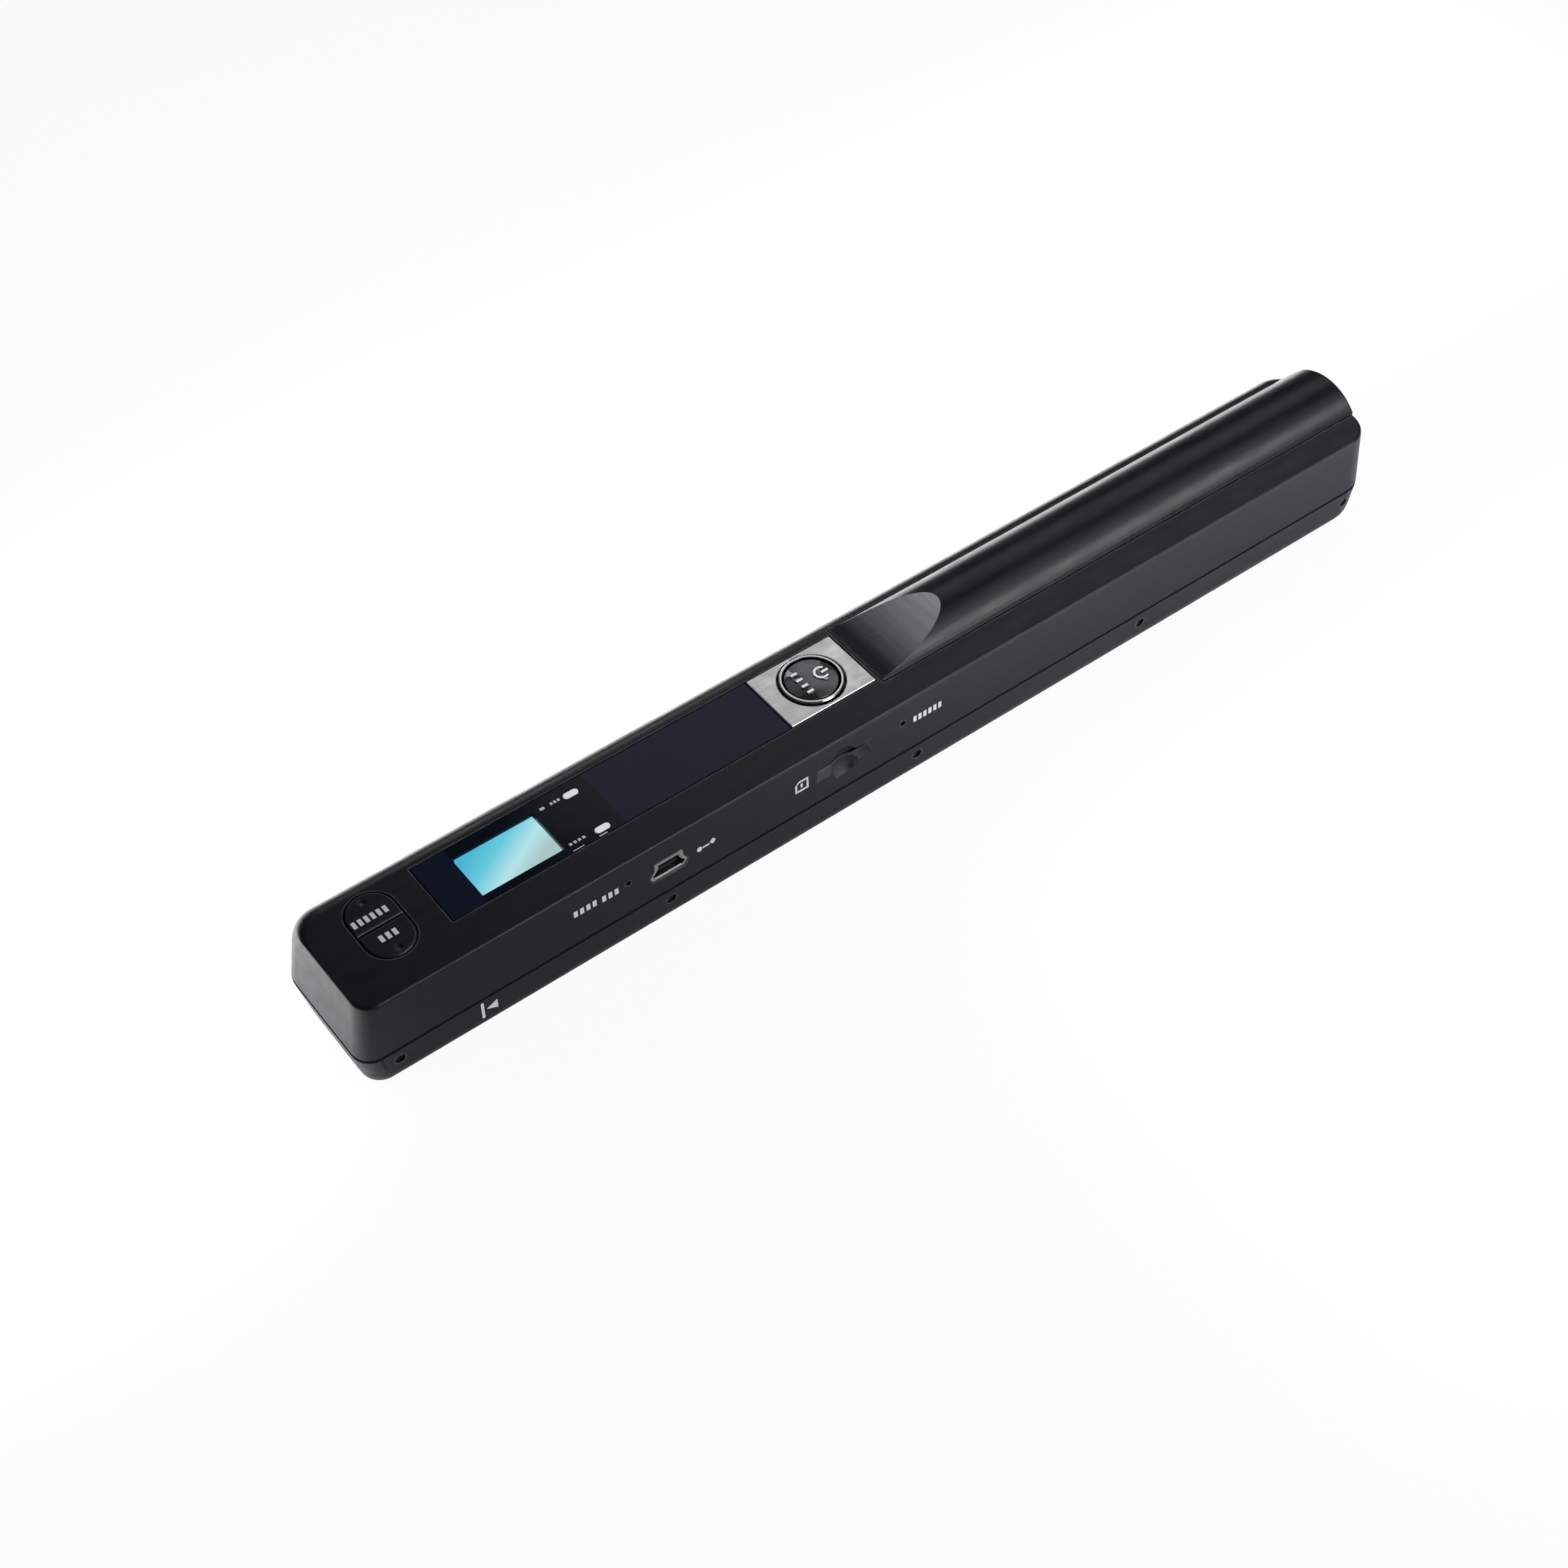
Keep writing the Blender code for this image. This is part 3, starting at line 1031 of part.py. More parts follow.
def make_main_board(mat, chip_mat):
    half = BOARD_WIDTH / 2
    board = place("main_board", box((BOARD_LEFT, -half, BOARD_BOTTOM), (BOARD_RIGHT, half, BOARD_TOP)), mat)
    add(board, *[box((LAMP_X - LAMP_LENGTH / 3, y - LAMP_WIDTH / 3, BOARD_TOP - GAP),
                     (LAMP_X + LAMP_LENGTH / 3, y + LAMP_WIDTH / 3, BOARD_TOP + LAMP_DIODE_HEIGHT))
                 for y in LAMP_YS])
    half = CHIP_SIDE / 2
    low = BOARD_TOP + CHIP_BALLS
    place("processor_chip", box((CHIP_X - half, CHIP_Y - half, low),
                                (CHIP_X + half, CHIP_Y + half, low + CHIP_HEIGHT)), chip_mat)


# Battery bay pieces

def cradle_section(radius, top):
    """Half-round trough with straight sides up to the top."""
    points = [(DOOR_CENTRE_Y - radius, top)]
    steps = 20
    for k in range(steps + 1):
        angle = math.pi * (1 + k / steps)
        points.append((DOOR_CENTRE_Y + radius * math.cos(angle), CELL_AXIS_Z + radius * math.sin(angle)))
    points.append((DOOR_CENTRE_Y + radius, top))
    return points


def make_cells(wrap, plastic, steel):
    cradle = place("battery_cradle", prism(cradle_section(BAY_HALF + CRADLE_WALL, CRADLE_TOP), "X",
                                           CRADLE_LEFT, CRADLE_RIGHT), plastic)
    cut(cradle, prism(cradle_section(BAY_HALF, CRADLE_TOP + OVERRUN), "X",
                      CRADLE_LEFT + CRADLE_END_WALL, CRADLE_RIGHT - CRADLE_END_WALL))
    centre = (DOOR_CENTRE_Y, CELL_AXIS_Z)
    for k in range(CELL_COUNT):
        start = CELL_START_X + k * (CELL_LENGTH + GAP)
        shoulder = start + CELL_LENGTH - CELL_NUB_LENGTH
        profile = ((start, CELL_RADIUS - CELL_EDGE), (start + CELL_EDGE, CELL_RADIUS),
                   (shoulder - CELL_EDGE, CELL_RADIUS), (shoulder, CELL_RADIUS - CELL_EDGE),
                   (shoulder, CELL_NUB_RADIUS), (start + CELL_LENGTH, CELL_NUB_RADIUS))
        place(f"cell_{k + 1}", turned(profile, "X", centre, 28), wrap)
    half = CONTACT_WIDTH / 2
    low = CELL_AXIS_Z - CONTACT_HEIGHT / 2
    high = CELL_AXIS_Z + CONTACT_HEIGHT / 2
    plates = (("spring_plate", CRADLE_LEFT + CRADLE_END_WALL + SEAT_GAP),
              ("contact_plate", CRADLE_RIGHT - CRADLE_END_WALL - SEAT_GAP - CONTACT_THICK))
    for name, left in plates:
        place(name, box((left, DOOR_CENTRE_Y - half, low),
                        (left + CONTACT_THICK, DOOR_CENTRE_Y + half, high)), steel)
    start = plates[0][1] + CONTACT_THICK + GAP + SPRING_WIRE / 2
    end = CELL_START_X - GAP - SPRING_WIRE / 2
    points = []
    total = SPRING_TURNS * SPRING_POINTS_PER_TURN
    for k in range(total + 1):
        angle = 2 * math.pi * k / SPRING_POINTS_PER_TURN
        points.append(Vector((start + (end - start) * k / total,
                              DOOR_CENTRE_Y + SPRING_RADIUS * math.cos(angle),
                              CELL_AXIS_Z + SPRING_RADIUS * math.sin(angle))))
    tube("battery_spring", points, SPRING_WIRE / 2, 1, steel)
    turn = SPRING_POINTS_PER_TURN
    least = min((points[k + turn] - points[k]).length for k in range(total + 1 - turn)) - SPRING_WIRE
    print(f"battery_spring: least gap between its turns {least * 1000:.2f} mm")


def tube(name, points, radius, resolution, mat):
    curve = bpy.data.curves.new(name, "CURVE")
    curve.dimensions = "3D"
    curve.bevel_depth = radius
    curve.bevel_resolution = resolution
    curve.use_fill_caps = True
    spline = curve.splines.new("POLY")
    spline.points.add(len(points) - 1)
    for target, point in zip(spline.points, points):
        target.co = (*point, 1.0)
    thing = bpy.data.objects.new(name, curve)
    curve.materials.append(mat)
    bpy.context.scene.collection.objects.link(thing)
    return thing


# Scanning bar

def make_scanning_bar(black, clear, lens_mat, board_mat):
    place("sensor_glass", box((-GLASS_LENGTH / 2, -GLASS_WIDTH / 2, GLASS_BOTTOM),
                              (GLASS_LENGTH / 2, GLASS_WIDTH / 2, GLASS_BOTTOM + GLASS_THICK)), clear)
    housing = place("sensor_housing", box((-SENSOR_LENGTH / 2, -SENSOR_WIDTH / 2, SENSOR_BOTTOM),
                                          (SENSOR_LENGTH / 2, SENSOR_WIDTH / 2, SENSOR_TOP)), black)
    lens_half = LENS_WIDTH / 2
    reach = LENS_LENGTH / 2 + GAP
    board_half = SENSOR_BOARD_WIDTH / 2 + GAP
    guide_half = GUIDE_RADIUS + GAP
    cut(housing,
        box((-reach, -lens_half - GAP, SENSOR_BOTTOM - OVERRUN),
            (reach, lens_half + GAP, SENSOR_TOP + OVERRUN)),
        box((-reach, -board_half, SENSOR_BOARD_BOTTOM - GAP), (reach, board_half, SENSOR_TOP + OVERRUN)),
        box((-reach, GUIDE_Y - guide_half, SENSOR_BOTTOM - OVERRUN),
            (reach, GUIDE_Y + guide_half, GUIDE_Z + guide_half)))
    place("lens_array", box((-LENS_LENGTH / 2, -lens_half, LENS_BOTTOM),
                            (LENS_LENGTH / 2, lens_half, LENS_BOTTOM + LENS_HEIGHT)), lens_mat)
    place("light_guide", rod(GUIDE_RADIUS, "X", -LENS_LENGTH / 2, LENS_LENGTH / 2,
                             (GUIDE_Y, GUIDE_Z), 14), clear)
    half = SENSOR_BOARD_WIDTH / 2
    place("sensor_board", box((-LENS_LENGTH / 2, -half, SENSOR_BOARD_BOTTOM),
                              (LENS_LENGTH / 2, half, SENSOR_BOARD_BOTTOM + SENSOR_BOARD_THICK)), board_mat)


# Rollers and encoder

def gear_outline(teeth, centre, first_tooth):
    """Straight-sided teeth, thinned for backlash; a tooth points at the first_tooth angle."""
    pitch = GEAR_MODULE * teeth / 2
    tip = pitch + GEAR_MODULE
    root = pitch - ROOT_DEPTH_SHARE * GEAR_MODULE
    turn = 2 * math.pi / teeth
    half_pitch = turn / 4 * TOOTH_THIN_SHARE
    points = []
    for k in range(teeth):
        angle = first_tooth + turn * k
        for radius, lean in ((root, -TOOTH_ROOT_SHARE), (tip, -TOOTH_TIP_SHARE),
                             (tip, TOOTH_TIP_SHARE), (root, TOOTH_ROOT_SHARE)):
            a = angle + lean * half_pitch
            points.append((centre[0] + radius * math.cos(a), centre[1] + radius * math.sin(a)))
    return points


def make_axle(name, y, steel, rubber, bush_mat):
    """Axle with two rubber tyres, turning in two bushes."""
    centre = (y, AXLE_Z)
    axle = place(name + "_axle", rod(AXLE_RADIUS, "X", AXLE_LEFT, AXLE_RIGHT, centre, 16), steel)
    pieces = [axle]
    for side, word in ((-1, "left"), (1, "right")):
        middle = side * TYRE_MIDDLE_X
        tyre = place(f"{name}_tyre_{word}", rod(TYRE_RADIUS, "X", middle - TYRE_LENGTH / 2,
                                                middle + TYRE_LENGTH / 2, centre, 28), rubber)
        cut(tyre, rod(AXLE_RADIUS + SEAT_GAP, "X", middle - TYRE_LENGTH, middle + TYRE_LENGTH, centre, 16))
        pieces.append(tyre)
        bush_x = BUSH_LEFT_X if side < 0 else BUSH_RIGHT_X
        bush = place(f"{name}_bush_{word}", rod(BUSH_RADIUS, "X", bush_x - BUSH_LENGTH / 2,
                                                bush_x + BUSH_LENGTH / 2, centre, 20), bush_mat)
        cut(bush, rod(AXLE_RADIUS + RUN_GAP, "X", bush_x - BUSH_LENGTH, bush_x + BUSH_LENGTH, centre, 24))
    return pieces


def make_rollers(steel, rubber, bush_mat, disc_mat, dark):
    pieces = make_axle("encoder", AXLE_Y, steel, rubber, bush_mat)
    centre = (AXLE_Y, AXLE_Z)
    left = GEAR_X - GEAR_WIDTH / 2
    right = GEAR_X + GEAR_WIDTH / 2
    teeth = gear_outline(GEAR_TEETH, centre, math.pi / 2)
    gear = place("encoder_gear", prism(teeth, "X", left, right), bush_mat)
    cut(gear, rod(AXLE_RADIUS + SEAT_GAP, "X", left - OVERRUN, right + OVERRUN, centre, 16))
    carry(pivot("encoder_axle_axis", (0.0, AXLE_Y, AXLE_Z)), gear, *pieces)
    idle_pieces = make_axle("idle", -AXLE_Y, steel, rubber, bush_mat)
    carry(pivot("idle_axle_axis", (0.0, -AXLE_Y, AXLE_Z)), *idle_pieces)
    centre = (AXLE_Y, SPINDLE_Z)
    gap_down = -math.pi / 2 + math.pi / PINION_TEETH
    spindle = place("encoder_spindle", rod(SPINDLE_RADIUS, "X", SPINDLE_LEFT, SPINDLE_RIGHT,
                                           centre, 16), steel)
    teeth = gear_outline(PINION_TEETH, centre, gap_down)
    pinion = place("encoder_pinion", prism(teeth, "X", left, right), bush_mat)
    cut(pinion, rod(SPINDLE_RADIUS + SEAT_GAP, "X", left - OVERRUN, right + OVERRUN, centre, 16))
    disc_left = DISC_X - DISC_THICK / 2
    disc_right = DISC_X + DISC_THICK / 2
    disc = place("encoder_disc", rod(DISC_RADIUS, "X", disc_left, disc_right, centre, 32), disc_mat)
    slots = [rod(SPINDLE_RADIUS + SEAT_GAP, "X", disc_left - OVERRUN, disc_right + OVERRUN, centre, 16)]
    for k in range(DISC_SLOTS):
        slot = box((disc_left - OVERRUN, DISC_RADIUS * DISC_SLOT_SHARES[0], -DISC_SLOT_WIDTH / 2),
                   (disc_right + OVERRUN, DISC_RADIUS * DISC_SLOT_SHARES[1], DISC_SLOT_WIDTH / 2))
        bmesh.ops.rotate(slot, cent=(0.0, 0.0, 0.0), verts=slot.verts,
                         matrix=Matrix.Rotation(2 * math.pi * k / DISC_SLOTS, 3, "X"))
        bmesh.ops.translate(slot, vec=(0.0, *centre), verts=slot.verts)
        slots.append(slot)
    cut(disc, *slots)
    carry(pivot("encoder_spindle_axis", (0.0, AXLE_Y, SPINDLE_Z)), spindle, pinion, disc)
    outer = INNER_WALL_Y - GAP
    eye = place("encoder_eye", box((DISC_X - EYE_WIDTH / 2, outer - EYE_REACH, EYE_BOTTOM),
                                   (DISC_X + EYE_WIDTH / 2, outer, EYE_TOP)), dark)
    cut(eye, box((DISC_X - EYE_SLOT / 2, outer - EYE_REACH - OVERRUN, EYE_BOTTOM - OVERRUN),
                 (DISC_X + EYE_SLOT / 2, AXLE_Y + DISC_RADIUS + GAP, EYE_TOP + OVERRUN)))


# Fasteners and wiring

def make_screws(steel):
    for number, (x, y) in enumerate(screw_places(), start=1):
        head_low = SCREW_HEAD_TOP - SCREW_HEAD_THICK
        profile = ((head_low, SCREW_HEAD), (SCREW_HEAD_TOP, SCREW_HEAD),
                   (SCREW_HEAD_TOP, SCREW_SHANK), (SCREW_TIP - SCREW_SHANK, SCREW_SHANK),
                   (SCREW_TIP, SCREW_SHANK / 3))
        screw = place(f"case_screw_{number}", turned(profile, "Z", (x, y), 16), steel)
        half = SCREW_SLOT / 2
        arm = SCREW_HEAD * SCREW_SLOT_SHARE
        top = head_low + SCREW_SLOT_DEPTH
        cut(screw, box((x - arm, y - half, head_low - OVERRUN), (x + arm, y + half, top)),
            box((x - half, y - arm, head_low - OVERRUN), (x + half, y + arm, top)))


def make_flex(mat):
    """Flat ribbon from the sensor board up to the underside of the main board."""
    low = SENSOR_BOARD_BOTTOM + SENSOR_BOARD_THICK + GAP
    high = BOARD_BOTTOM - GAP
    middle = (low + high) / 2
    left = FLEX_X - FLEX_WIDTH / 2
    bend = FLEX_WIDTH / 4
    path = ((left, low), (left + bend, low), (left + 2 * bend, middle), (left + bend, high - FLEX_THICK),
            (left - bend, high - FLEX_THICK))
    upper = [(x, z + FLEX_THICK) for x, z in path]
    outline = list(path[:2]) + [(path[2][0] + FLEX_THICK, middle)] + [upper[3], upper[4]]
    outline += [path[4], path[3], (path[2][0], middle), upper[1], upper[0]]
    half = SENSOR_BOARD_WIDTH / 2 - GAP
    place("sensor_ribbon", prism(outline, "Y", -half, half), mat)


def main():
    clear_objects()
    black = material("case_black", (0.022, 0.023, 0.026), 0.34)
    grip = material("grip_black", (0.020, 0.021, 0.025), 0.28)
    navy = material("fascia_navy", (0.010, 0.013, 0.028), 0.08)
    cyan = material("display_cyan", (0.30, 0.74, 0.82), 0.15)
    silver = material("plate_silver", (0.52, 0.52, 0.54), 0.38, 0.9)
    chrome = material("ring_chrome", (0.75, 0.75, 0.77), 0.12, 1.0)
    gunmetal = material("button_gunmetal", (0.12, 0.12, 0.125), 0.22, 1.0)
    white = material("lamp_white", (0.80, 0.80, 0.80), 0.35)
    dark = material("inner_black", (0.015, 0.015, 0.016), 0.55)
    pale = material("pale_plastic", (0.62, 0.61, 0.57), 0.5)
    steel = material("bright_steel", (0.56, 0.56, 0.57), 0.25, 1.0)
    green = material("board_green", (0.02, 0.14, 0.06), 0.45)
    rubber = material("tyre_rubber", (0.03, 0.03, 0.03), 0.8)
    clear = material("clear_glass", (0.70, 0.76, 0.76), 0.05)
    amber = material("lens_amber", (0.18, 0.10, 0.05), 0.3)
    wrap = material("cell_wrap", (0.10, 0.11, 0.13), 0.35)
    ribbon = material("ribbon_tan", (0.45, 0.30, 0.14), 0.4)

    make_upper_case(black)
    make_lower_case(black)
    make_battery_door(grip)
    make_fascia(navy)
    make_display(cyan, white)
    make_light_pipes(white)
    make_scan_button(silver, chrome, gunmetal, pale)
    make_key("format_key", 1, black, dark, pale)
    make_key("resolution_key", -1, black, dark, pale)
    make_usb(steel, dark)
    make_card_socket(steel)
    make_pin_switch("clock", CLOCK_PIN_X, dark, pale)
    make_pin_switch("wipe", WIPE_PIN_X, dark, pale)
    make_main_board(green, dark)
    make_cells(wrap, dark, steel)
    make_scanning_bar(dark, clear, amber, green)
    make_rollers(steel, rubber, pale, pale, dark)
    make_screws(steel)
    make_flex(ribbon)
    weld_cuts()


main()
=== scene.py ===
"""Handheld document scanner: the visual model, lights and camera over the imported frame."""

import json
import math

import bmesh
import bpy
from mathutils import Matrix, Vector
from mathutils.bvhtree import BVHTree

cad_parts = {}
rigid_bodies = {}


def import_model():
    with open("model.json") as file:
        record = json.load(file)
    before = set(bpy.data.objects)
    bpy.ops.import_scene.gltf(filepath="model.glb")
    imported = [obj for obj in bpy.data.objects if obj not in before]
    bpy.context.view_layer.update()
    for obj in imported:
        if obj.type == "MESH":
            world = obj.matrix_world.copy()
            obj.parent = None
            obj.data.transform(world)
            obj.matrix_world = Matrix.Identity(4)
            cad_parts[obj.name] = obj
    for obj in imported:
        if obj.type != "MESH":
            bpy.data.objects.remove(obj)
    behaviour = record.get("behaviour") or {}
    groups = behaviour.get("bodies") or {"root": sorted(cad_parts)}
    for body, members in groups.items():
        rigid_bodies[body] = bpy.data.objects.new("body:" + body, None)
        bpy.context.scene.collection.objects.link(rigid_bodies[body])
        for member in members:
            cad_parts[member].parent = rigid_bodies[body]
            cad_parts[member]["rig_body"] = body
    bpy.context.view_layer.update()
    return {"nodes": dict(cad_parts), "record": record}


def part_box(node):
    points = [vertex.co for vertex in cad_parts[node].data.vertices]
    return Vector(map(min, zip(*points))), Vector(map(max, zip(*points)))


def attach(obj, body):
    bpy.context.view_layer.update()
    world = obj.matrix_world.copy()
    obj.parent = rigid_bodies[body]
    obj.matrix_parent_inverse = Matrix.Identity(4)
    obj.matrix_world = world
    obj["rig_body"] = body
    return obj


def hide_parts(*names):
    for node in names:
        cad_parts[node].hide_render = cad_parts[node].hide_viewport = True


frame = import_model()

# Sizes and places are in mm unless a comment says metres. MM turns them into metres.
MM = 0.001

# Camera: sensor and lens in mm, place and clipping in metres, directions to the right and ahead
SENSOR_WIDTH = 36.0
LENS = 57.6
CLIP_START = 0.01
CAMERA_PLACE = (-0.22277, -0.26188, 0.38218)
CAMERA_RIGHT = (0.7936, -0.6085, 0.0)
CAMERA_AHEAD = (0.3976, 0.5186, -0.7570)

# Stage: reach of the floor in metres, its tone, and the light of the sky that falls on the object
FLOOR_REACH = 6.0
FLOOR_TONE = (0.86, 0.86, 0.86, 1.0)
FLOOR_ROUGH = 0.9
FLOOR_SEEN = 0.95
SKY = 0.07
SKY_COLOUR = (1.0, 1.0, 1.0, 1.0)

# Lamps: name, place, the point it faces, width and height, all in metres, and power in watts
LAMPS = (
    ("left_floor_soft", (-0.178, 0.03, 0.021), (-0.178, 0.03, 0.0), (0.09, 0.10), 0.072),
    ("front_low_soft", (0.46, -0.88, 0.24), (0.06, 0.0, 0.02), (0.9, 0.28), 0.9),
    ("front_mid_soft", (0.42, -0.62, 0.62), (0.06, 0.0, 0.02), (0.8, 0.25), 3.0),
    ("front_top_soft", (0.42, -0.42, 0.82), (0.06, 0.0, 0.02), (0.9, 0.5), 1.3),
    ("front_floor_soft", (0.16, -0.12, 0.03), (0.16, -0.12, 0.0), (0.32, 0.12), 0.33),
    ("back_top_soft", (0.72, 0.62, 0.90), (0.0, 0.0, 0.02), (0.75, 0.5), 0.90),
    ("back_low_soft", (0.03, 0.25, 0.145), (-0.06, 0.012, 0.024), (0.16, 0.06), 0.07),
    ("back_floor_soft", (0.08, 0.09, 0.022), (0.08, 0.09, 0.0), (0.40, 0.10), 0.46),
    ("back_floor_left_soft", (-0.12, 0.085, 0.022), (-0.12, 0.085, 0.0), (0.2, 0.1), 0.13),
)

# Plastic: scales of its noise per metre, how much paler its mottling is, spread of its roughness
MOTTLE_SCALE = 90.0
MOTTLE_GAIN = 1.35
MOTTLE_LIFT = 0.0006
STREAK_SCALE = 420.0
STREAK_DETAIL = 4.0
STREAK_STRETCH = (0.25, 1.0, 1.0)
STREAK_ROUGH = (0.86, 1.16)
GRAIN_SCALE = 2600.0
GRAIN_DETAIL = 2.0
GRAIN_DEPTH = 0.04

# Pale edges, partly wear and partly a painted highlight: width of the pale strip, how far its normal
# leans, scale and range of the scuffs
EDGE_RADIUS = 0.5
EDGE_SAMPLES = 4
EDGE_LEAN = (0.85, 0.998)
SCUFF_SCALE = 260.0
SCUFF_RANGE = (0.35, 0.95)

# Painted highlight on the thumb ramp, paler where it faces the light: slopes between which it grows, its
# colour, and its fine lines
RAMP_FLAT = 0.12
RAMP_STEEP = 0.27
RAMP_HIGHLIGHT_PAINT = (0.70, 0.715, 0.78)
RAMP_LINE_SCALE = 700.0
RAMP_LINE_DETAIL = 2.0
RAMP_LINE_STRETCH = (1.0, 0.08, 1.0)
RAMP_LINE_RANGE = (0.75, 1.0)

# Metal: lines along one direction, spread of colour and roughness
LINE_SCALE = 1500.0
LINE_STRETCH = (0.04, 1.0, 1.0)
LINE_DEPTH = 0.02
LINE_TONE = 0.86
METAL_ROUGH_SCALE = 300.0
METAL_ROUGH = (0.8, 1.25)
EVEN = (1.0, 1.0, 1.0)

# Lit display: its edges, the colours along its slant, the tones and roughness of its cells
DISPLAY_X = (-94.8, -77.5)
DISPLAY_Y = (-4.2, 5.8)
DISPLAY_SLANT = (0.25, 1.75)
DISPLAY_STOPS = ((0.0, (0.060, 0.46, 0.66)), (0.35, (0.13, 0.60, 0.74)),
                 (0.70, (0.46, 0.79, 0.83)), (1.0, (0.40, 0.56, 0.57)))
DISPLAY_GLOW = 0.95
DISPLAY_SPECULAR = 0.35
CELL_SCALE = 1400.0
CELL_TONES = ((0.020, 0.030, 0.034), (0.030, 0.042, 0.048))
DISPLAY_ROUGH_SCALE = 900.0
DISPLAY_ROUGH = (0.10, 0.18)

# Fascia: edges of the darker window in it, how softly they fade, and its gloss
WINDOW_LEFT = -94.6
WINDOW_LEFT_FADE = 0.3
WINDOW_RIGHT = -63.9
WINDOW_RIGHT_FADE = 0.5
FASCIA_TONES = ((0.0110, 0.0165, 0.0430), (0.0048, 0.0090, 0.0185))
FASCIA_ROUGH_SCALE = 240.0
FASCIA_ROUGH = (0.07, 0.11)
FASCIA_SPECULAR = 0.16
FASCIA_WAVE_SCALE = 900.0
FASCIA_WAVE = 0.01

# Window glass, and the faint glow of white print and lamp ends; on print the glow is painted light
GLASS_TONE = (0.80, 0.86, 0.86, 1.0)
GLASS_CLEAR = 0.9
GLASS_IOR = 1.5
GLASS_ROUGH_SCALE = 160.0
GLASS_ROUGH = (0.02, 0.07)
GLOW_COLOUR = (0.9, 0.9, 0.95, 1.0)

# Seam between the case halves: its round, and the matt band along it
SEAM_ROUND = 0.26
SEAM_TOUCH = 0.01
SEAM_LOW = 9.75
SEAM_HIGH = 10.75
SEAM_FADE = 0.15
SEAM_ROUGH = 0.95

# Clean copies of the nodes: distance within which points merge, and angles in degrees
MERGE = 0.004
FLAT_ANGLE = 0.4
SHARP_ANGLE = 30.0
OWN_SHARP_ANGLES = {"battery_door": 9.0}
OWN_LOOKS = {"card_socket": "socket_grey"}
BEVEL_ANGLE = 40.0
BEVEL_SEGMENTS = 3
BEVELS = {"fascia_panel": 0.10, "scan_plate": 0.22, "lcd_glass": 0.10, "scan_light_pipe": 0.10,
          "status_light_pipe": 0.10, "usb_tongue": 0.10, "format_key": 0.14, "resolution_key": 0.14,
          "card_socket": 0.10, "main_board": 0.10}

# Faces of the thumb ramp: most lean to the front or back, and range of their upward lean
SCOOP_SIDE = 0.002
SCOOP_UP = (0.6, 0.9999)

# Corner of the grip at the right and back: centre and radius of its round, and cuts across it
DOOR_ROUND_CENTRE = (123.6, 6.1)
DOOR_ROUND = 4.0
DOOR_CUTS = (123.6, 124.9, 126.0, 126.8)

# Same corner of the case: centre, then height and radius of each ring, start of the wall, thickness
CORNER_CENTRE = (120.4, 7.4)
CORNER_LOW_RINGS = ((20.3, 6.85), (21.26, 6.53), (22.06, 6.07), (22.12, 6.03))
CORNER_HIGH_RINGS = ((22.12, 6.03), (22.75, 5.49), (23.32, 4.81), (23.75, 4.06), (23.87, 3.65))
CORNER_START_Y = (9.9, 10.44)
CORNER_WALL = 1.2
CORNER_STEPS = 10
CORNER_SHARP_ANGLE = 35.0
CORNER_BEHIND = 2.0
CORNER_SLACK = 0.1

# Rim of the USB socket: half outline in shares of its half width and height, reach, depth
RIM_CORNERS = ((0.80, -1.0), (1.0, -0.60), (1.0, -0.45), (0.73, 0.30), (0.70, 1.0))
RIM_REACH = (-0.22, 0.43)
RIM_SINK = 0.05
RIM_DEPTH = 0.5
RIM_BESIDE = 1.0

# Print: how far it stands out and sinks in, start of the rays that find the surface under it
PRINT_PROUD = 0.02
PRINT_SUNK = 0.05
RAY_START = 60.0

# Plain blocks in the place of words: left, right, low, high and count, and share of a block
WALL_LABELS = ((-81.6, -76.0, 17.6, 19.1, 4), (-75.3, -71.1, 17.4, 18.9, 3), (-1.1, 6.5, 17.1, 18.6, 6))
KEY_LABELS = {"format_key": (-117.0, -109.2, 2.7, 4.3, 6),
              "resolution_key": (-114.6, -110.4, -2.8, -1.2, 3)}
PANEL_LABELS = ((-72.5, -70.1, 5.8, 6.4, 3), (-74.8, -73.2, 5.8, 6.4, 1), (-75.2, -71.3, -4.6, -4.0, 4),
                (-69.6, -66.6, -6.05, -5.83, 1), (-75.4, -71.4, -6.05, -5.88, 1))
BLOCK_SHARE = 0.6

# Card sign: left, low, right, high; width of its strokes, its clipped corner and its small slot
CARD_SIGN = (-30.4, 16.2, -27.2, 19.1)
CARD_LINE = 0.45
CARD_CLIP = 0.9
CARD_SLOT_X = (1.3, 1.8)
CARD_SLOT_LOW = 1.0
CARD_SLOT_HIGH = 0.9

# Socket sign: centre of its dot, height and right end; sizes of the dot, the bar and the diamond
SOCKET_SIGN = (-53.2, 16.5, -49.4)
SIGN_DOT = 0.6
SIGN_BAR_GAPS = (0.75, 1.5)
SIGN_BAR_HALF = 0.2
SIGN_END_GAP = 0.7
SIGN_END_LIFT = 0.3
SIGN_END = 0.75
CIRCLE_STEPS = 20
DIAMOND_STEPS = 4

# Mark that shows where the scan starts
ALIGN_BAR = (-103.2, 4.9, -102.6, 9.3)
ALIGN_ARROW = ((-102.1, 7.0), (-99.7, 5.8), (-99.7, 8.2))

# Scan button: width of its strokes; its bars; its open ring, whose turns are shares of a circle
STROKE = 0.54
BAR_COUNT = 4
BAR_PITCH = 1.8
BAR_LEFT = 2.3
BAR_HALF = 0.71
RING_RIGHT = 2.4
RING_INNER = 1.14
RING_OUTER = 1.64
RING_STEPS = 14
RING_START = 0.11
RING_TURN = 0.78
RING_BAR = 1.6


# Camera, as the photo was taken

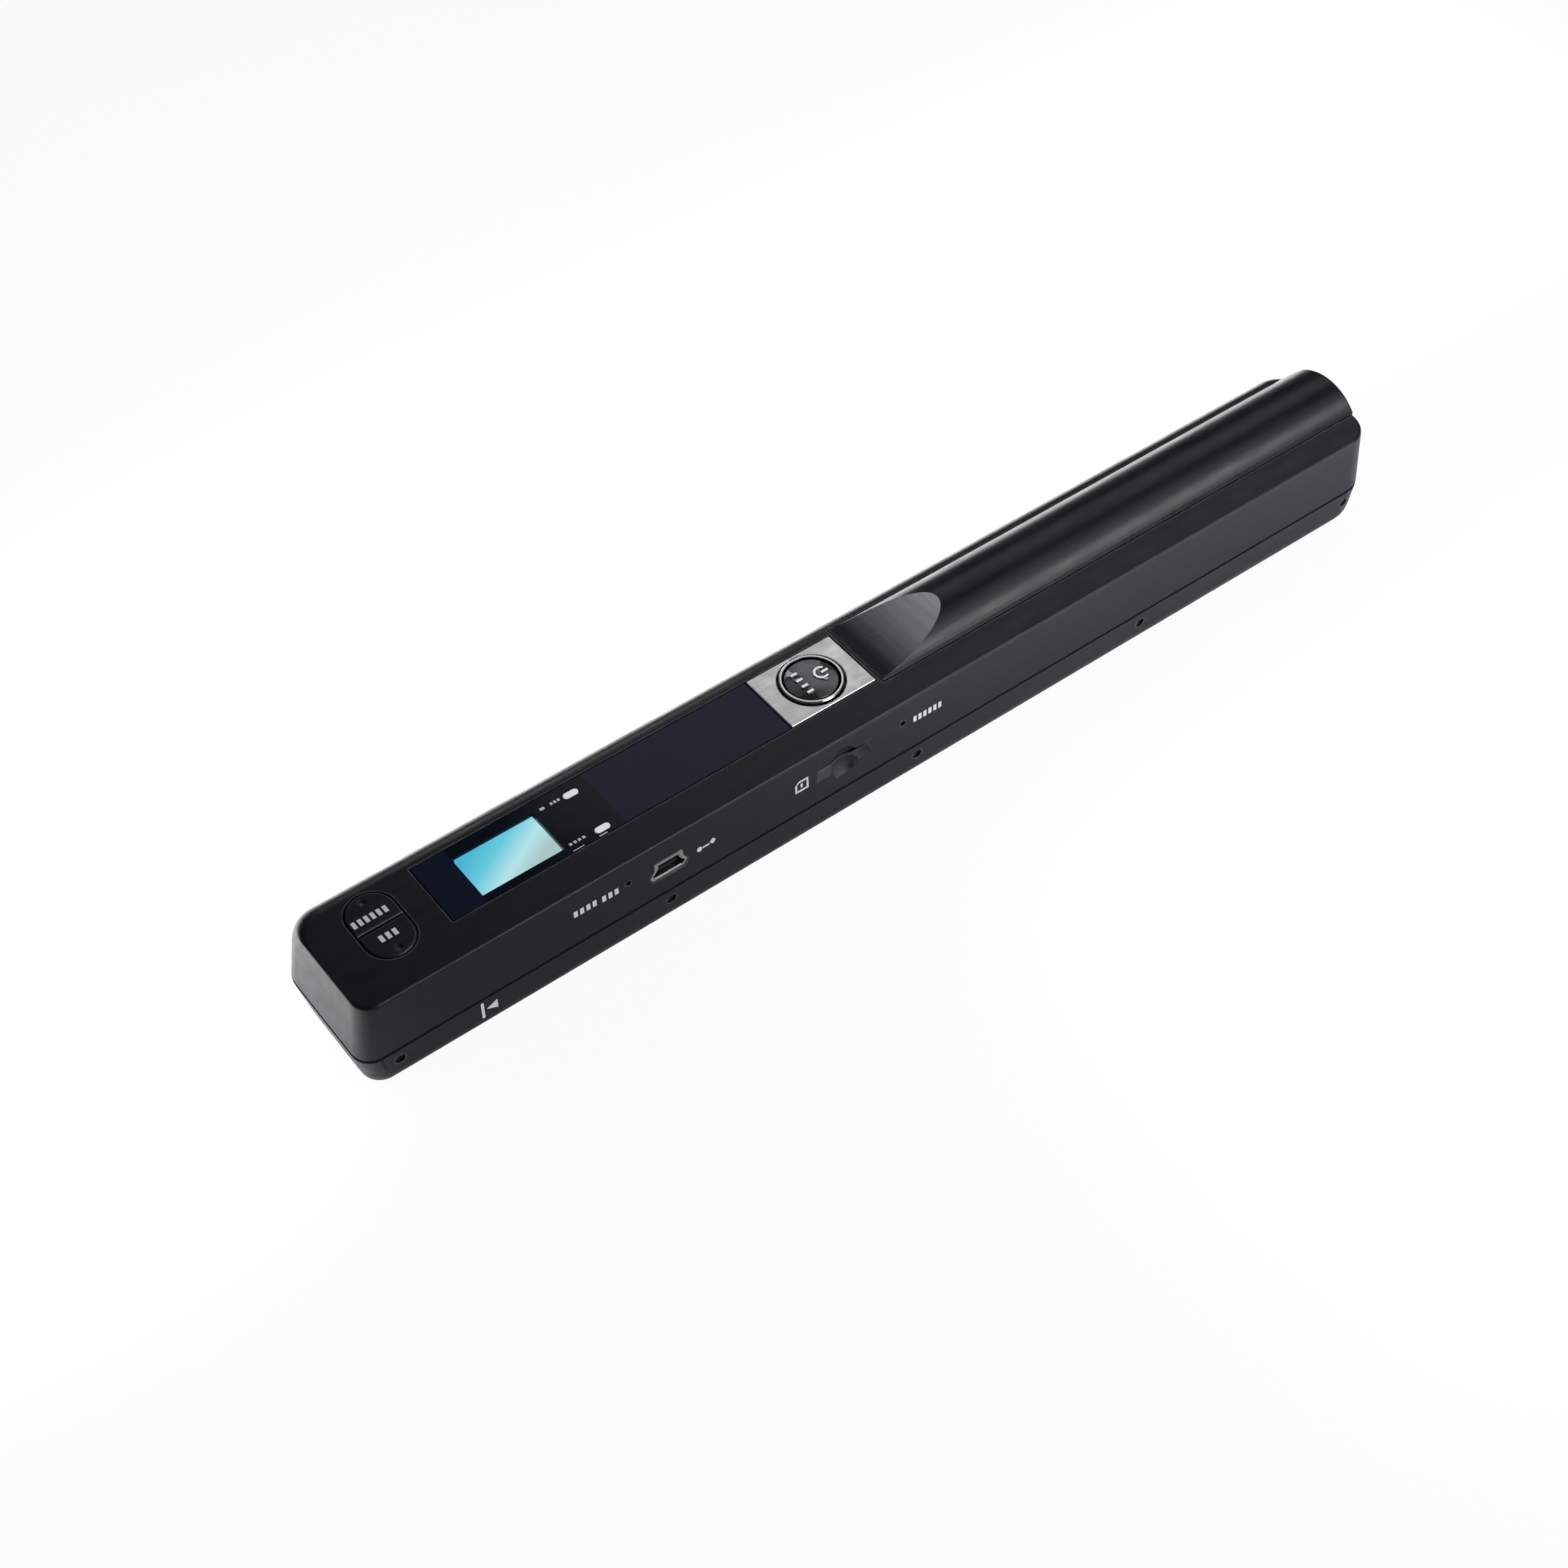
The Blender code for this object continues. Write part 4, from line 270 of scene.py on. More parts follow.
def make_camera():
    right = Vector(CAMERA_RIGHT).normalized()
    ahead = Vector(CAMERA_AHEAD).normalized()
    up = right.cross(ahead)
    data = bpy.data.cameras.new("photo_camera")
    data.sensor_width = SENSOR_WIDTH
    data.lens = LENS
    data.clip_start = CLIP_START
    camera = bpy.data.objects.new("photo_camera", data)
    pose = Matrix((right, up, -ahead)).transposed().to_4x4()
    pose.translation = Vector(CAMERA_PLACE)
    camera.matrix_world = pose
    bpy.context.scene.collection.objects.link(camera)
    bpy.context.scene.camera = camera


# Nodes that the materials share

def new_tree(name):
    mat = bpy.data.materials.new(name)
    mat.use_nodes = True
    return mat, mat.node_tree, mat.node_tree.nodes["Principled BSDF"]


def coordinates(tree, kind="Object"):
    """Place of a point, or the lean of its normal, split into three values."""
    place = tree.nodes.new("ShaderNodeTexCoord")
    split = tree.nodes.new("ShaderNodeSeparateXYZ")
    tree.links.new(place.outputs[kind], split.inputs["Vector"])
    return split.outputs


def noise(tree, scale, detail=3.0, stretch=EVEN):
    place = tree.nodes.new("ShaderNodeTexCoord")
    mapping = tree.nodes.new("ShaderNodeMapping")
    mapping.inputs["Scale"].default_value = stretch
    texture = tree.nodes.new("ShaderNodeTexNoise")
    texture.inputs["Scale"].default_value = scale
    texture.inputs["Detail"].default_value = detail
    tree.links.new(place.outputs["Object"], mapping.inputs["Vector"])
    tree.links.new(mapping.outputs["Vector"], texture.inputs["Vector"])
    return texture.outputs["Fac"]


def spread(tree, value, low, high, start=0.3, end=0.7):
    """Value between start and end, spread out from low to high."""
    node = tree.nodes.new("ShaderNodeMapRange")
    node.inputs["From Min"].default_value = start
    node.inputs["From Max"].default_value = end
    node.inputs["To Min"].default_value = low
    node.inputs["To Max"].default_value = high
    tree.links.new(value, node.inputs["Value"])
    return node.outputs["Result"]


def combine(tree, operation, first, second, clamp=False):
    node = tree.nodes.new("ShaderNodeMath")
    node.operation = operation
    node.use_clamp = clamp
    tree.links.new(first, node.inputs[0])
    tree.links.new(second, node.inputs[1])
    return node.outputs["Value"]


def mix_colours(tree, factor, first, second):
    """Blend of two colours, each a constant or the output of another node."""
    node = tree.nodes.new("ShaderNodeMix")
    node.data_type = "RGBA"
    for colour, socket in ((first, node.inputs["A"]), (second, node.inputs["B"])):
        if isinstance(colour, tuple):
            socket.default_value = (*colour, 1.0)
        else:
            tree.links.new(colour, socket)
    tree.links.new(factor, node.inputs["Factor"])
    return node.outputs["Result"]


def add_relief(tree, shader, height, strength, depth):
    node = tree.nodes.new("ShaderNodeBump")
    node.inputs["Strength"].default_value = strength
    node.inputs["Distance"].default_value = depth * MM
    tree.links.new(height, node.inputs["Height"])
    tree.links.new(node.outputs["Normal"], shader.inputs["Normal"])


def edge_mask(tree):
    """Nearly 1 on edges, 0 on flat surface: how far the rounded normal leaves the true one."""
    rounded = tree.nodes.new("ShaderNodeBevel")
    rounded.samples = EDGE_SAMPLES
    rounded.inputs["Radius"].default_value = EDGE_RADIUS * MM
    shape = tree.nodes.new("ShaderNodeNewGeometry")
    dot = tree.nodes.new("ShaderNodeVectorMath")
    dot.operation = "DOT_PRODUCT"
    tree.links.new(rounded.outputs["Normal"], dot.inputs[0])
    tree.links.new(shape.outputs["Normal"], dot.inputs[1])
    return spread(tree, dot.outputs["Value"], 1.0, 0.0, *EDGE_LEAN)


def seam_mask(tree):
    """0 in the narrow band along the seam, where the two halves meet, and 1 elsewhere."""
    height = coordinates(tree)["Z"]
    above = spread(tree, height, 0.0, 1.0, (SEAM_HIGH - SEAM_FADE) * MM, SEAM_HIGH * MM)
    below = spread(tree, height, 1.0, 0.0, SEAM_LOW * MM, (SEAM_LOW + SEAM_FADE) * MM)
    return combine(tree, "MAXIMUM", above, below)


def scuffs_and_edge_highlight(tree, seam):
    """Pale spots along the edges, partly wear and partly a painted highlight, left out along the seam."""
    spots = spread(tree, noise(tree, SCUFF_SCALE), *SCUFF_RANGE)
    pale_edge_mask = combine(tree, "MULTIPLY", edge_mask(tree), spots)
    return combine(tree, "MULTIPLY", pale_edge_mask, seam_mask(tree)) if seam else pale_edge_mask


def paint_ramp_highlight(tree, base):
    """Painted highlight: a paler matt colour that grows towards the steep end of the grip's ramp, which
    faces the light from the left, broken up by fine lines.
    """
    slope = coordinates(tree, "Normal")["X"]
    steep = spread(tree, slope, 1.0, 0.0, -RAMP_STEEP, -RAMP_FLAT)
    fine = noise(tree, RAMP_LINE_SCALE, RAMP_LINE_DETAIL, RAMP_LINE_STRETCH)
    lines = spread(tree, fine, *RAMP_LINE_RANGE)
    return mix_colours(tree, combine(tree, "MULTIPLY", steep, lines), base, RAMP_HIGHLIGHT_PAINT)


def dull_seam(tree, roughness):
    """Roughness that is nearly matt in the band along the seam."""
    mixed = tree.nodes.new("ShaderNodeMix")
    mixed.inputs["A"].default_value = SEAM_ROUGH
    tree.links.new(seam_mask(tree), mixed.inputs["Factor"])
    tree.links.new(roughness, mixed.inputs["B"])
    return mixed.outputs["Result"]


def seen_directly(tree):
    """1 for what is seen straight or through glass, and 0 for light that falls on the object."""
    path = tree.nodes.new("ShaderNodeLightPath")
    return combine(tree, "ADD", path.outputs["Is Camera Ray"], path.outputs["Is Transmission Ray"],
                   clamp=True)


# Materials

def plastic(name, colour, rough, specular, grain=GRAIN_SCALE, bump=0.10, edge_wear_and_highlight=None,
            seam=False, thumb=False):
    """Moulded plastic: faint mottling, fine spark-erosion grain, paler edges that are partly wear and
    partly a painted highlight, and with thumb a painted highlight on the ramp.
    """
    mat, tree, shader = new_tree(name)
    shader.inputs["Specular IOR Level"].default_value = specular
    pale = tuple(min(c * MOTTLE_GAIN + MOTTLE_LIFT, 1.0) for c in colour)
    base = mix_colours(tree, spread(tree, noise(tree, MOTTLE_SCALE), 0.0, 1.0), colour, pale)
    # With thumb, a painted highlight goes onto the steep end of the ramp.
    if thumb:
        base = paint_ramp_highlight(tree, base)
    # Pale edges: partly wear, partly a painted highlight.
    if edge_wear_and_highlight:
        base = mix_colours(tree, scuffs_and_edge_highlight(tree, seam), base, edge_wear_and_highlight)
    tree.links.new(base, shader.inputs["Base Color"])
    streaks = noise(tree, STREAK_SCALE, STREAK_DETAIL, STREAK_STRETCH)
    roughness = spread(tree, streaks, *(rough * share for share in STREAK_ROUGH))
    if seam:
        roughness = dull_seam(tree, roughness)
    tree.links.new(roughness, shader.inputs["Roughness"])
    add_relief(tree, shader, noise(tree, grain, GRAIN_DETAIL), bump, GRAIN_DEPTH)
    return mat


def metal(name, colour, rough, stretch=LINE_STRETCH, bump=0.06):
    """Brushed or plated metal with fine lines along one direction."""
    mat, tree, shader = new_tree(name)
    shader.inputs["Metallic"].default_value = 1.0
    lines = noise(tree, LINE_SCALE, 3.0, stretch)
    dull = tuple(c * LINE_TONE for c in colour)
    base = mix_colours(tree, spread(tree, lines, 0.0, 1.0), dull, colour)
    tree.links.new(base, shader.inputs["Base Color"])
    roughness = spread(tree, noise(tree, METAL_ROUGH_SCALE), *(rough * share for share in METAL_ROUGH))
    tree.links.new(roughness, shader.inputs["Roughness"])
    add_relief(tree, shader, lines, bump, LINE_DEPTH)
    return mat


def colour_stops(tree, value, stops):
    ramp = tree.nodes.new("ShaderNodeValToRGB")
    elements = ramp.color_ramp.elements
    for index, (position, colour) in enumerate(stops):
        stop = elements[index] if index < 2 else elements.new(position)
        stop.position = position
        stop.color = (*colour, 1.0)
    tree.links.new(value, ramp.inputs["Fac"])
    return ramp.outputs["Color"]


def display_material():
    """Lit display: cyan fading to pale along the glass, with faint uneven cells."""
    mat, tree, shader = new_tree("display_lit")
    place = coordinates(tree)
    along = spread(tree, place["X"], 0.0, 1.0, *(edge * MM for edge in DISPLAY_X))
    across = spread(tree, place["Y"], 1.0, 0.0, *(edge * MM for edge in DISPLAY_Y))
    share = spread(tree, combine(tree, "ADD", along, across), 0.0, 1.0, *DISPLAY_SLANT)
    tree.links.new(colour_stops(tree, share, DISPLAY_STOPS), shader.inputs["Emission Color"])
    shader.inputs["Emission Strength"].default_value = DISPLAY_GLOW
    cells = mix_colours(tree, spread(tree, noise(tree, CELL_SCALE), 0.0, 1.0), *CELL_TONES)
    tree.links.new(cells, shader.inputs["Base Color"])
    shader.inputs["Specular IOR Level"].default_value = DISPLAY_SPECULAR
    roughness = spread(tree, noise(tree, DISPLAY_ROUGH_SCALE), *DISPLAY_ROUGH)
    tree.links.new(roughness, shader.inputs["Roughness"])
    return mat


def fascia_material():
    """Glossy fascia, a little darker behind the window round the display and the lamps."""
    mat, tree, shader = new_tree("fascia_gloss")
    along = coordinates(tree)["X"]
    past_left = spread(tree, along, 0.0, 1.0, WINDOW_LEFT * MM, (WINDOW_LEFT + WINDOW_LEFT_FADE) * MM)
    before_right = spread(tree, along, 1.0, 0.0,
                          WINDOW_RIGHT * MM, (WINDOW_RIGHT + WINDOW_RIGHT_FADE) * MM)
    base = mix_colours(tree, combine(tree, "MULTIPLY", past_left, before_right), *FASCIA_TONES)
    tree.links.new(base, shader.inputs["Base Color"])
    roughness = spread(tree, noise(tree, FASCIA_ROUGH_SCALE), *FASCIA_ROUGH)
    tree.links.new(roughness, shader.inputs["Roughness"])
    shader.inputs["Specular IOR Level"].default_value = FASCIA_SPECULAR
    add_relief(tree, shader, noise(tree, FASCIA_WAVE_SCALE), FASCIA_WAVE, LINE_DEPTH)
    return mat


def glass_material():
    mat, tree, shader = new_tree("window_glass")
    shader.inputs["Base Color"].default_value = GLASS_TONE
    shader.inputs["Transmission Weight"].default_value = GLASS_CLEAR
    shader.inputs["IOR"].default_value = GLASS_IOR
    roughness = spread(tree, noise(tree, GLASS_ROUGH_SCALE), *GLASS_ROUGH)
    tree.links.new(roughness, shader.inputs["Roughness"])
    return mat


def white_material(name, tone, glow):
    """White print or lamp end, with a faint glow; on print the glow is painted light."""
    mat = plastic(name, (tone, tone, tone * 1.02), rough=0.45, specular=0.4, bump=0.02)
    shader = mat.node_tree.nodes["Principled BSDF"]
    shader.inputs["Emission Color"].default_value = GLOW_COLOUR
    shader.inputs["Emission Strength"].default_value = glow
    return mat


def floor_material():
    """Pale floor that is seen as white, with the object's soft shadow kept."""
    mat, tree, shader = new_tree("pale_floor")
    shader.inputs["Base Color"].default_value = FLOOR_TONE
    shader.inputs["Roughness"].default_value = FLOOR_ROUGH
    shader.inputs["Specular IOR Level"].default_value = 0.0
    glow = tree.nodes.new("ShaderNodeEmission")
    glow.inputs["Strength"].default_value = 1.0
    amount = spread(tree, seen_directly(tree), 0.0, FLOOR_SEEN, 0.0, 1.0)
    mix = tree.nodes.new("ShaderNodeMixShader")
    tree.links.new(amount, mix.inputs["Fac"])
    tree.links.new(shader.outputs["BSDF"], mix.inputs[1])
    tree.links.new(glow.outputs["Emission"], mix.inputs[2])
    tree.links.new(mix.outputs["Shader"], tree.nodes["Material Output"].inputs["Surface"])
    return mat


def make_materials():
    return {
        # The case's pale edge colour paints the highlight line along its front top edge, with scuffs of
        # wear.
        "case_black": plastic("case_plastic", (0.0028, 0.0040, 0.0088), rough=0.34, specular=0.42,
                              edge_wear_and_highlight=(0.20, 0.205, 0.22), seam=True),
        # The grip's thumb ramp takes a painted highlight.
        "grip_black": plastic("grip_plastic", (0.0028, 0.0039, 0.0085), rough=0.30, specular=0.42,
                              grain=3400.0, bump=0.16, edge_wear_and_highlight=(0.060, 0.063, 0.072), thumb=True),
        "fascia_navy": fascia_material(),
        "display_cyan": display_material(),
        "plate_silver": metal("plate_satin", (0.97, 0.97, 0.98), rough=0.36),
        "ring_chrome": metal("ring_plated", (0.70, 0.70, 0.72), rough=0.14, stretch=EVEN, bump=0.01),
        "button_gunmetal": metal("button_plated", (0.16, 0.16, 0.17), rough=0.24, stretch=EVEN, bump=0.03),
        "lamp_white": white_material("lamp_diffuser", tone=0.80, glow=0.35),
        # White print glows faintly: painted light that makes it read paler.
        "print_grey": white_material("white_print", tone=0.62, glow=0.10),
        "socket_grey": plastic("socket_cover", (0.16, 0.16, 0.165), rough=0.35, specular=0.5, bump=0.03),
        "inner_black": plastic("inner_moulding", (0.010, 0.010, 0.011), rough=0.55, specular=0.25),
        "pale_plastic": plastic("pale_acetal", (0.58, 0.57, 0.52), rough=0.45, specular=0.4),
        "bright_steel": metal("steel_plated", (0.60, 0.60, 0.61), rough=0.28),
        "board_green": plastic("board_lacquer", (0.012, 0.10, 0.045), rough=0.35, specular=0.4, bump=0.04),
        "tyre_rubber": plastic("ground_rubber", (0.018, 0.018, 0.018), rough=0.80, specular=0.2,
                               grain=1800.0, bump=0.4),
        "clear_glass": glass_material(),
        "lens_amber": plastic("amber_resin", (0.16, 0.08, 0.035), rough=0.25, specular=0.5),
        "cell_wrap": plastic("cell_sleeve", (0.060, 0.075, 0.10), rough=0.30, specular=0.5, bump=0.03,
                             edge_wear_and_highlight=(0.2, 0.2, 0.2)),
        "ribbon_tan": plastic("ribbon_film", (0.40, 0.24, 0.09), rough=0.30, specular=0.5),
    }


# Pieces that stand for the nodes

def link(name, mesh, body, slot, looks, look=None):
    """A piece on a body, with the look of its slot or one of its own."""
    piece = bpy.data.objects.new(name, mesh)
    mesh.materials.clear()
    mesh.materials.append(looks[look or slot])
    bpy.context.scene.collection.objects.link(piece)
    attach(piece, body)
    return piece


def to_mesh(name, shape):
    mesh = bpy.data.meshes.new(name)
    shape.to_mesh(mesh)
    shape.free()
    return mesh


def smooth(mesh, sharp_angle):
    mesh.shade_smooth()
    mesh.set_sharp_from_angle(angle=math.radians(sharp_angle))


def crease_scoop(mesh):
    """Sharp edge all round the thumb ramp, whose faces have no lean to the front or back."""
    low, high = SCOOP_UP
    shape = bmesh.new()
    shape.from_mesh(mesh)
    shape.normal_update()
    scoop = {face.index for face in shape.faces
             if abs(face.normal.y) < SCOOP_SIDE and low < face.normal.z < high}
    for edge in shape.edges:
        sides = [face.index in scoop for face in edge.link_faces]
        edge.smooth = sides[0] == sides[-1] and edge.smooth
    shape.to_mesh(mesh)
    shape.free()


def faces_outward(face, point):
    """Whether a wall face looks away from the middle of the case."""
    outward = face.normal.x * point.x + face.normal.y * point.y > 0
    return abs(face.normal.z) < 0.5 and outward


def soften_seam(shape, upper):
    """Small round on the outer edge along the seam between the two case halves."""
    reach = max(abs(vert.co.y) for vert in shape.verts)
    heights = [vert.co.z for vert in shape.verts if abs(vert.co.y) > reach - SEAM_TOUCH * MM]
    rim = min(heights) if upper else max(heights)
    edges = []
    for edge in shape.edges:
        level = all(abs(vert.co.z - rim) < SEAM_TOUCH * MM for vert in edge.verts)
        if level and any(faces_outward(face, edge.verts[0].co) for face in edge.link_faces):
            edges.append(edge)
    size = SEAM_ROUND if upper else SEAM_ROUND / 2
    bmesh.ops.bevel(shape, geom=edges, offset=size * MM, segments=2, profile=0.5, affect="EDGES")


def round_door_corner(shape):
    """Corner of the grip at the right and back, drawn in to a round that follows the case."""
    for cut_x in DOOR_CUTS:
        everything = shape.verts[:] + shape.edges[:] + shape.faces[:]
        bmesh.ops.bisect_plane(shape, geom=everything, plane_co=(cut_x * MM, 0.0, 0.0),
                               plane_no=(1.0, 0.0, 0.0))
    mid_x, mid_y = DOOR_ROUND_CENTRE
    for vert in shape.verts:
        across = vert.co.x / MM - mid_x
        back = vert.co.y / MM - mid_y
        reach = math.hypot(across, back)
        if across > 0.0 and back > 0.0 and reach > DOOR_ROUND:
            vert.co.x = (mid_x + across * DOOR_ROUND / reach) * MM
            vert.co.y = (mid_y + back * DOOR_ROUND / reach) * MM


def corner_reach(height):
    """Radius of the case's rounded corner at the right and back, at a height; none off its rings."""
    rings = CORNER_LOW_RINGS + CORNER_HIGH_RINGS[1:]
    for (low, low_radius), (high, high_radius) in zip(rings, rings[1:]):
        if low <= height <= high:
            return low_radius + (high_radius - low_radius) * (height - low) / (high - low)
    return None


def trim_case_corner(shape):
    """Points of the case that stand out past its own rounded corner, drawn back to it."""
    mid_x, mid_y = CORNER_CENTRE
    for vert in shape.verts:
        across = vert.co.x / MM - mid_x
        back = vert.co.y / MM - mid_y
        reach = math.hypot(across, back)
        limit = corner_reach(vert.co.z / MM)
        if limit and across > 0.0 and back > CORNER_BEHIND and reach > limit + CORNER_SLACK:
            vert.co.x = (mid_x + across * limit / reach) * MM
            vert.co.y = (mid_y + back * limit / reach) * MM


def clean_shape(node):
    """The node's own shape without double points or cuts across flat faces, with its small rounds."""
    shape = bmesh.new()
    shape.from_mesh(frame["nodes"][node].data)
    bmesh.ops.remove_doubles(shape, verts=shape.verts, dist=MERGE * MM)
    bmesh.ops.dissolve_limit(shape, angle_limit=math.radians(FLAT_ANGLE),
                             verts=shape.verts, edges=shape.edges)
    bmesh.ops.recalc_face_normals(shape, faces=shape.faces)
    if node in ("upper_case", "lower_case"):
        soften_seam(shape, node == "upper_case")
    if node == "battery_door":
        round_door_corner(shape)
    if node == "upper_case":
        trim_case_corner(shape)
    return shape


def bevel_edges(piece, width):
    edge = piece.modifiers.new("edge", "BEVEL")
    edge.width = width * MM
    edge.segments = BEVEL_SEGMENTS
    edge.limit_method = "ANGLE"
    edge.angle_limit = math.radians(BEVEL_ANGLE)
    edge.harden_normals = True


def dress(node, slot, looks):
    """A clean piece with soft edges, which stands for the node."""
    mesh = to_mesh(node + "_dress", clean_shape(node))
    smooth(mesh, OWN_SHARP_ANGLES.get(node, SHARP_ANGLE))
    if node == "battery_door":
        crease_scoop(mesh)
    body = frame["nodes"][node]["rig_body"]
    piece = link(node + "_dress", mesh, body, slot, looks, OWN_LOOKS.get(node))
    if node in BEVELS:
        bevel_edges(piece, BEVELS[node])
    even = piece.modifiers.new("even", "WEIGHTED_NORMAL")
    even.keep_sharp = True
    even.weight = 100
    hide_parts(node)


# Outlines in mm, and shapes made from rings of points

def rectangle(low_a, low_b, high_a, high_b):
    return [(low_a, low_b), (high_a, low_b), (high_a, high_b), (low_a, high_b)]


def label_blocks(left, right, low, high, count):
    """A row of short blocks in the place of a word."""
    pitch = (right - left) / count
    return [rectangle(left + k * pitch, low, left + (k + BLOCK_SHARE) * pitch, high) for k in range(count)]


def circle(a, b, radius, steps=CIRCLE_STEPS):
    turns = [2 * math.pi * k / steps for k in range(steps)]
    return [(a + radius * math.cos(turn), b + radius * math.sin(turn)) for turn in turns]


def join_rings(shape, first, second):
    """Faces between two rings with the same number of points."""
    for k in range(len(first)):
        following = (k + 1) % len(first)
        shape.faces.new((first[k], first[following], second[following], second[k]))


def surface_of(node):
    data = frame["nodes"][node].data
    points = [vert.co for vert in data.vertices]
    return BVHTree.FromPolygons(points, [face.vertices for face in data.polygons])


# Trim of the case

def socket_rim(looks):
    """Bright plated rim round the mouth of the USB socket, level with the wall."""
    low, high = [Vector(corner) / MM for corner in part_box("usb_shell")]
    mid_x = (low.x + high.x) / 2
    mid_z = (low.z + high.z) / 2
    half_width = (high.x - low.x) / 2
    half_height = (high.z - low.z) / 2
    start = Vector((high.x + RIM_BESIDE, -RAY_START, mid_z)) * MM
    wall = surface_of("upper_case").ray_cast(start, Vector((0.0, 1.0, 0.0)))[0].y
    shape = bmesh.new()
    rings = []
    for depth in (RIM_SINK, RIM_SINK + RIM_DEPTH):
        for grow in RIM_REACH:
            half = [(across * half_width + grow, up * (half_height + grow)) for across, up in RIM_CORNERS]
            outline = half + [(-across, up) for across, up in half[::-1]]
            rings.append([shape.verts.new(((mid_x + across) * MM, wall + depth * MM, (mid_z + up) * MM))
                          for across, up in outline])
    inner, outer, back_inner, back_outer = rings
    join_rings(shape, inner, outer)
    join_rings(shape, outer, back_outer)
    join_rings(shape, back_outer, back_inner)
    join_rings(shape, back_inner, inner)
    bmesh.ops.recalc_face_normals(shape, faces=shape.faces)
    body = frame["nodes"]["upper_case"]["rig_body"]
    link("usb_rim", to_mesh("usb_rim", shape), body, "bright_steel", looks)


def corner_section(shape, height, radius, start_y):
    """Ring of points round the corner's wall at one height, outside and back along the inside."""
    mid_x, mid_y = CORNER_CENTRE
    start = math.asin((start_y - mid_y) / radius)
    turns = [start + (math.pi / 2 - start) * step / CORNER_STEPS for step in range(CORNER_STEPS + 1)]
    outer = [(radius * math.cos(turn), radius * math.sin(turn)) for turn in turns]
    inner = [(max(across - CORNER_WALL, 0.0), max(back - CORNER_WALL, start_y - mid_y))
             for across, back in outer[::-1]]
    return [shape.verts.new(((mid_x + across) * MM, (mid_y + back) * MM, height * MM))
            for across, back in outer + inner]


def corner_wall(looks):
    """Wall of the rounded corner at the right and back, closed behind the case's thin skin there."""
    shape = bmesh.new()
    for rings, start_y in zip((CORNER_LOW_RINGS, CORNER_HIGH_RINGS), CORNER_START_Y):
        sections = [corner_section(shape, height, radius, start_y) for height, radius in rings]
        for lower, upper in zip(sections, sections[1:]):
            join_rings(shape, lower, upper)
        shape.faces.new(sections[0][::-1])
        shape.faces.new(sections[-1])
    bmesh.ops.recalc_face_normals(shape, faces=shape.faces)
    mesh = to_mesh("corner_wall", shape)
    smooth(mesh, CORNER_SHARP_ANGLE)
    link("corner_wall", mesh, frame["nodes"]["upper_case"]["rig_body"], "case_black", looks)


# Print

def printed(name, node, looks, outlines, on_wall, look="print_grey"):
    """Thin print on a node's surface: outlines across and up on the wall, or in plan on top, in mm."""
    surface = surface_of(node)
    ahead = Vector((0.0, 1.0, 0.0)) if on_wall else Vector((0.0, 0.0, -1.0))
    shape = bmesh.new()
    for outline in outlines:
        if on_wall:
            starts = [(a, -RAY_START, b) for a, b in outline]
        else:
            starts = [(a, b, RAY_START) for a, b in outline[::-1]]
        places = [surface.ray_cast(Vector(start) * MM, ahead)[0] for start in starts]
        fronts = [shape.verts.new(place - ahead * PRINT_PROUD * MM) for place in places]
        backs = [shape.verts.new(place + ahead * PRINT_SUNK * MM) for place in places]
        shape.faces.new(fronts)
        shape.faces.new(backs[::-1])
        join_rings(shape, fronts[::-1], backs[::-1])
    bmesh.ops.recalc_face_normals(shape, faces=shape.faces)
    link(name, to_mesh(name, shape), frame["nodes"][node]["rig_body"], "lamp_white", looks, look)


def card_sign():
    """Card with a clipped corner, drawn as five strokes and a small slot."""
    left, low, right, high = CARD_SIGN
    line = CARD_LINE
    clip = CARD_CLIP
    slot_left, slot_right = CARD_SLOT_X
    return [rectangle(left, low, right, low + line),
            rectangle(right - line, low + line, right, high),
            rectangle(left + clip, high - line, right - line, high),
            rectangle(left, low + line, left + line, high - clip),
            [(left, high - clip), (left + line, high - clip),
             (left + clip, high - line), (left + clip, high)],
            rectangle(left + slot_left, low + CARD_SLOT_LOW, left + slot_right, high - CARD_SLOT_HIGH)]


def socket_sign():
    """Dot, bar and diamond in a row: the generic sign of a data socket, made plainer."""
    dot_x, height, end_x = SOCKET_SIGN
    start_gap, end_gap = SIGN_BAR_GAPS
    return [circle(dot_x, height, SIGN_DOT),
            rectangle(dot_x + start_gap, height - SIGN_BAR_HALF, end_x - end_gap, height + SIGN_BAR_HALF),
            circle(end_x - SIGN_END_GAP, height + SIGN_END_LIFT, SIGN_END, DIAMOND_STEPS)]


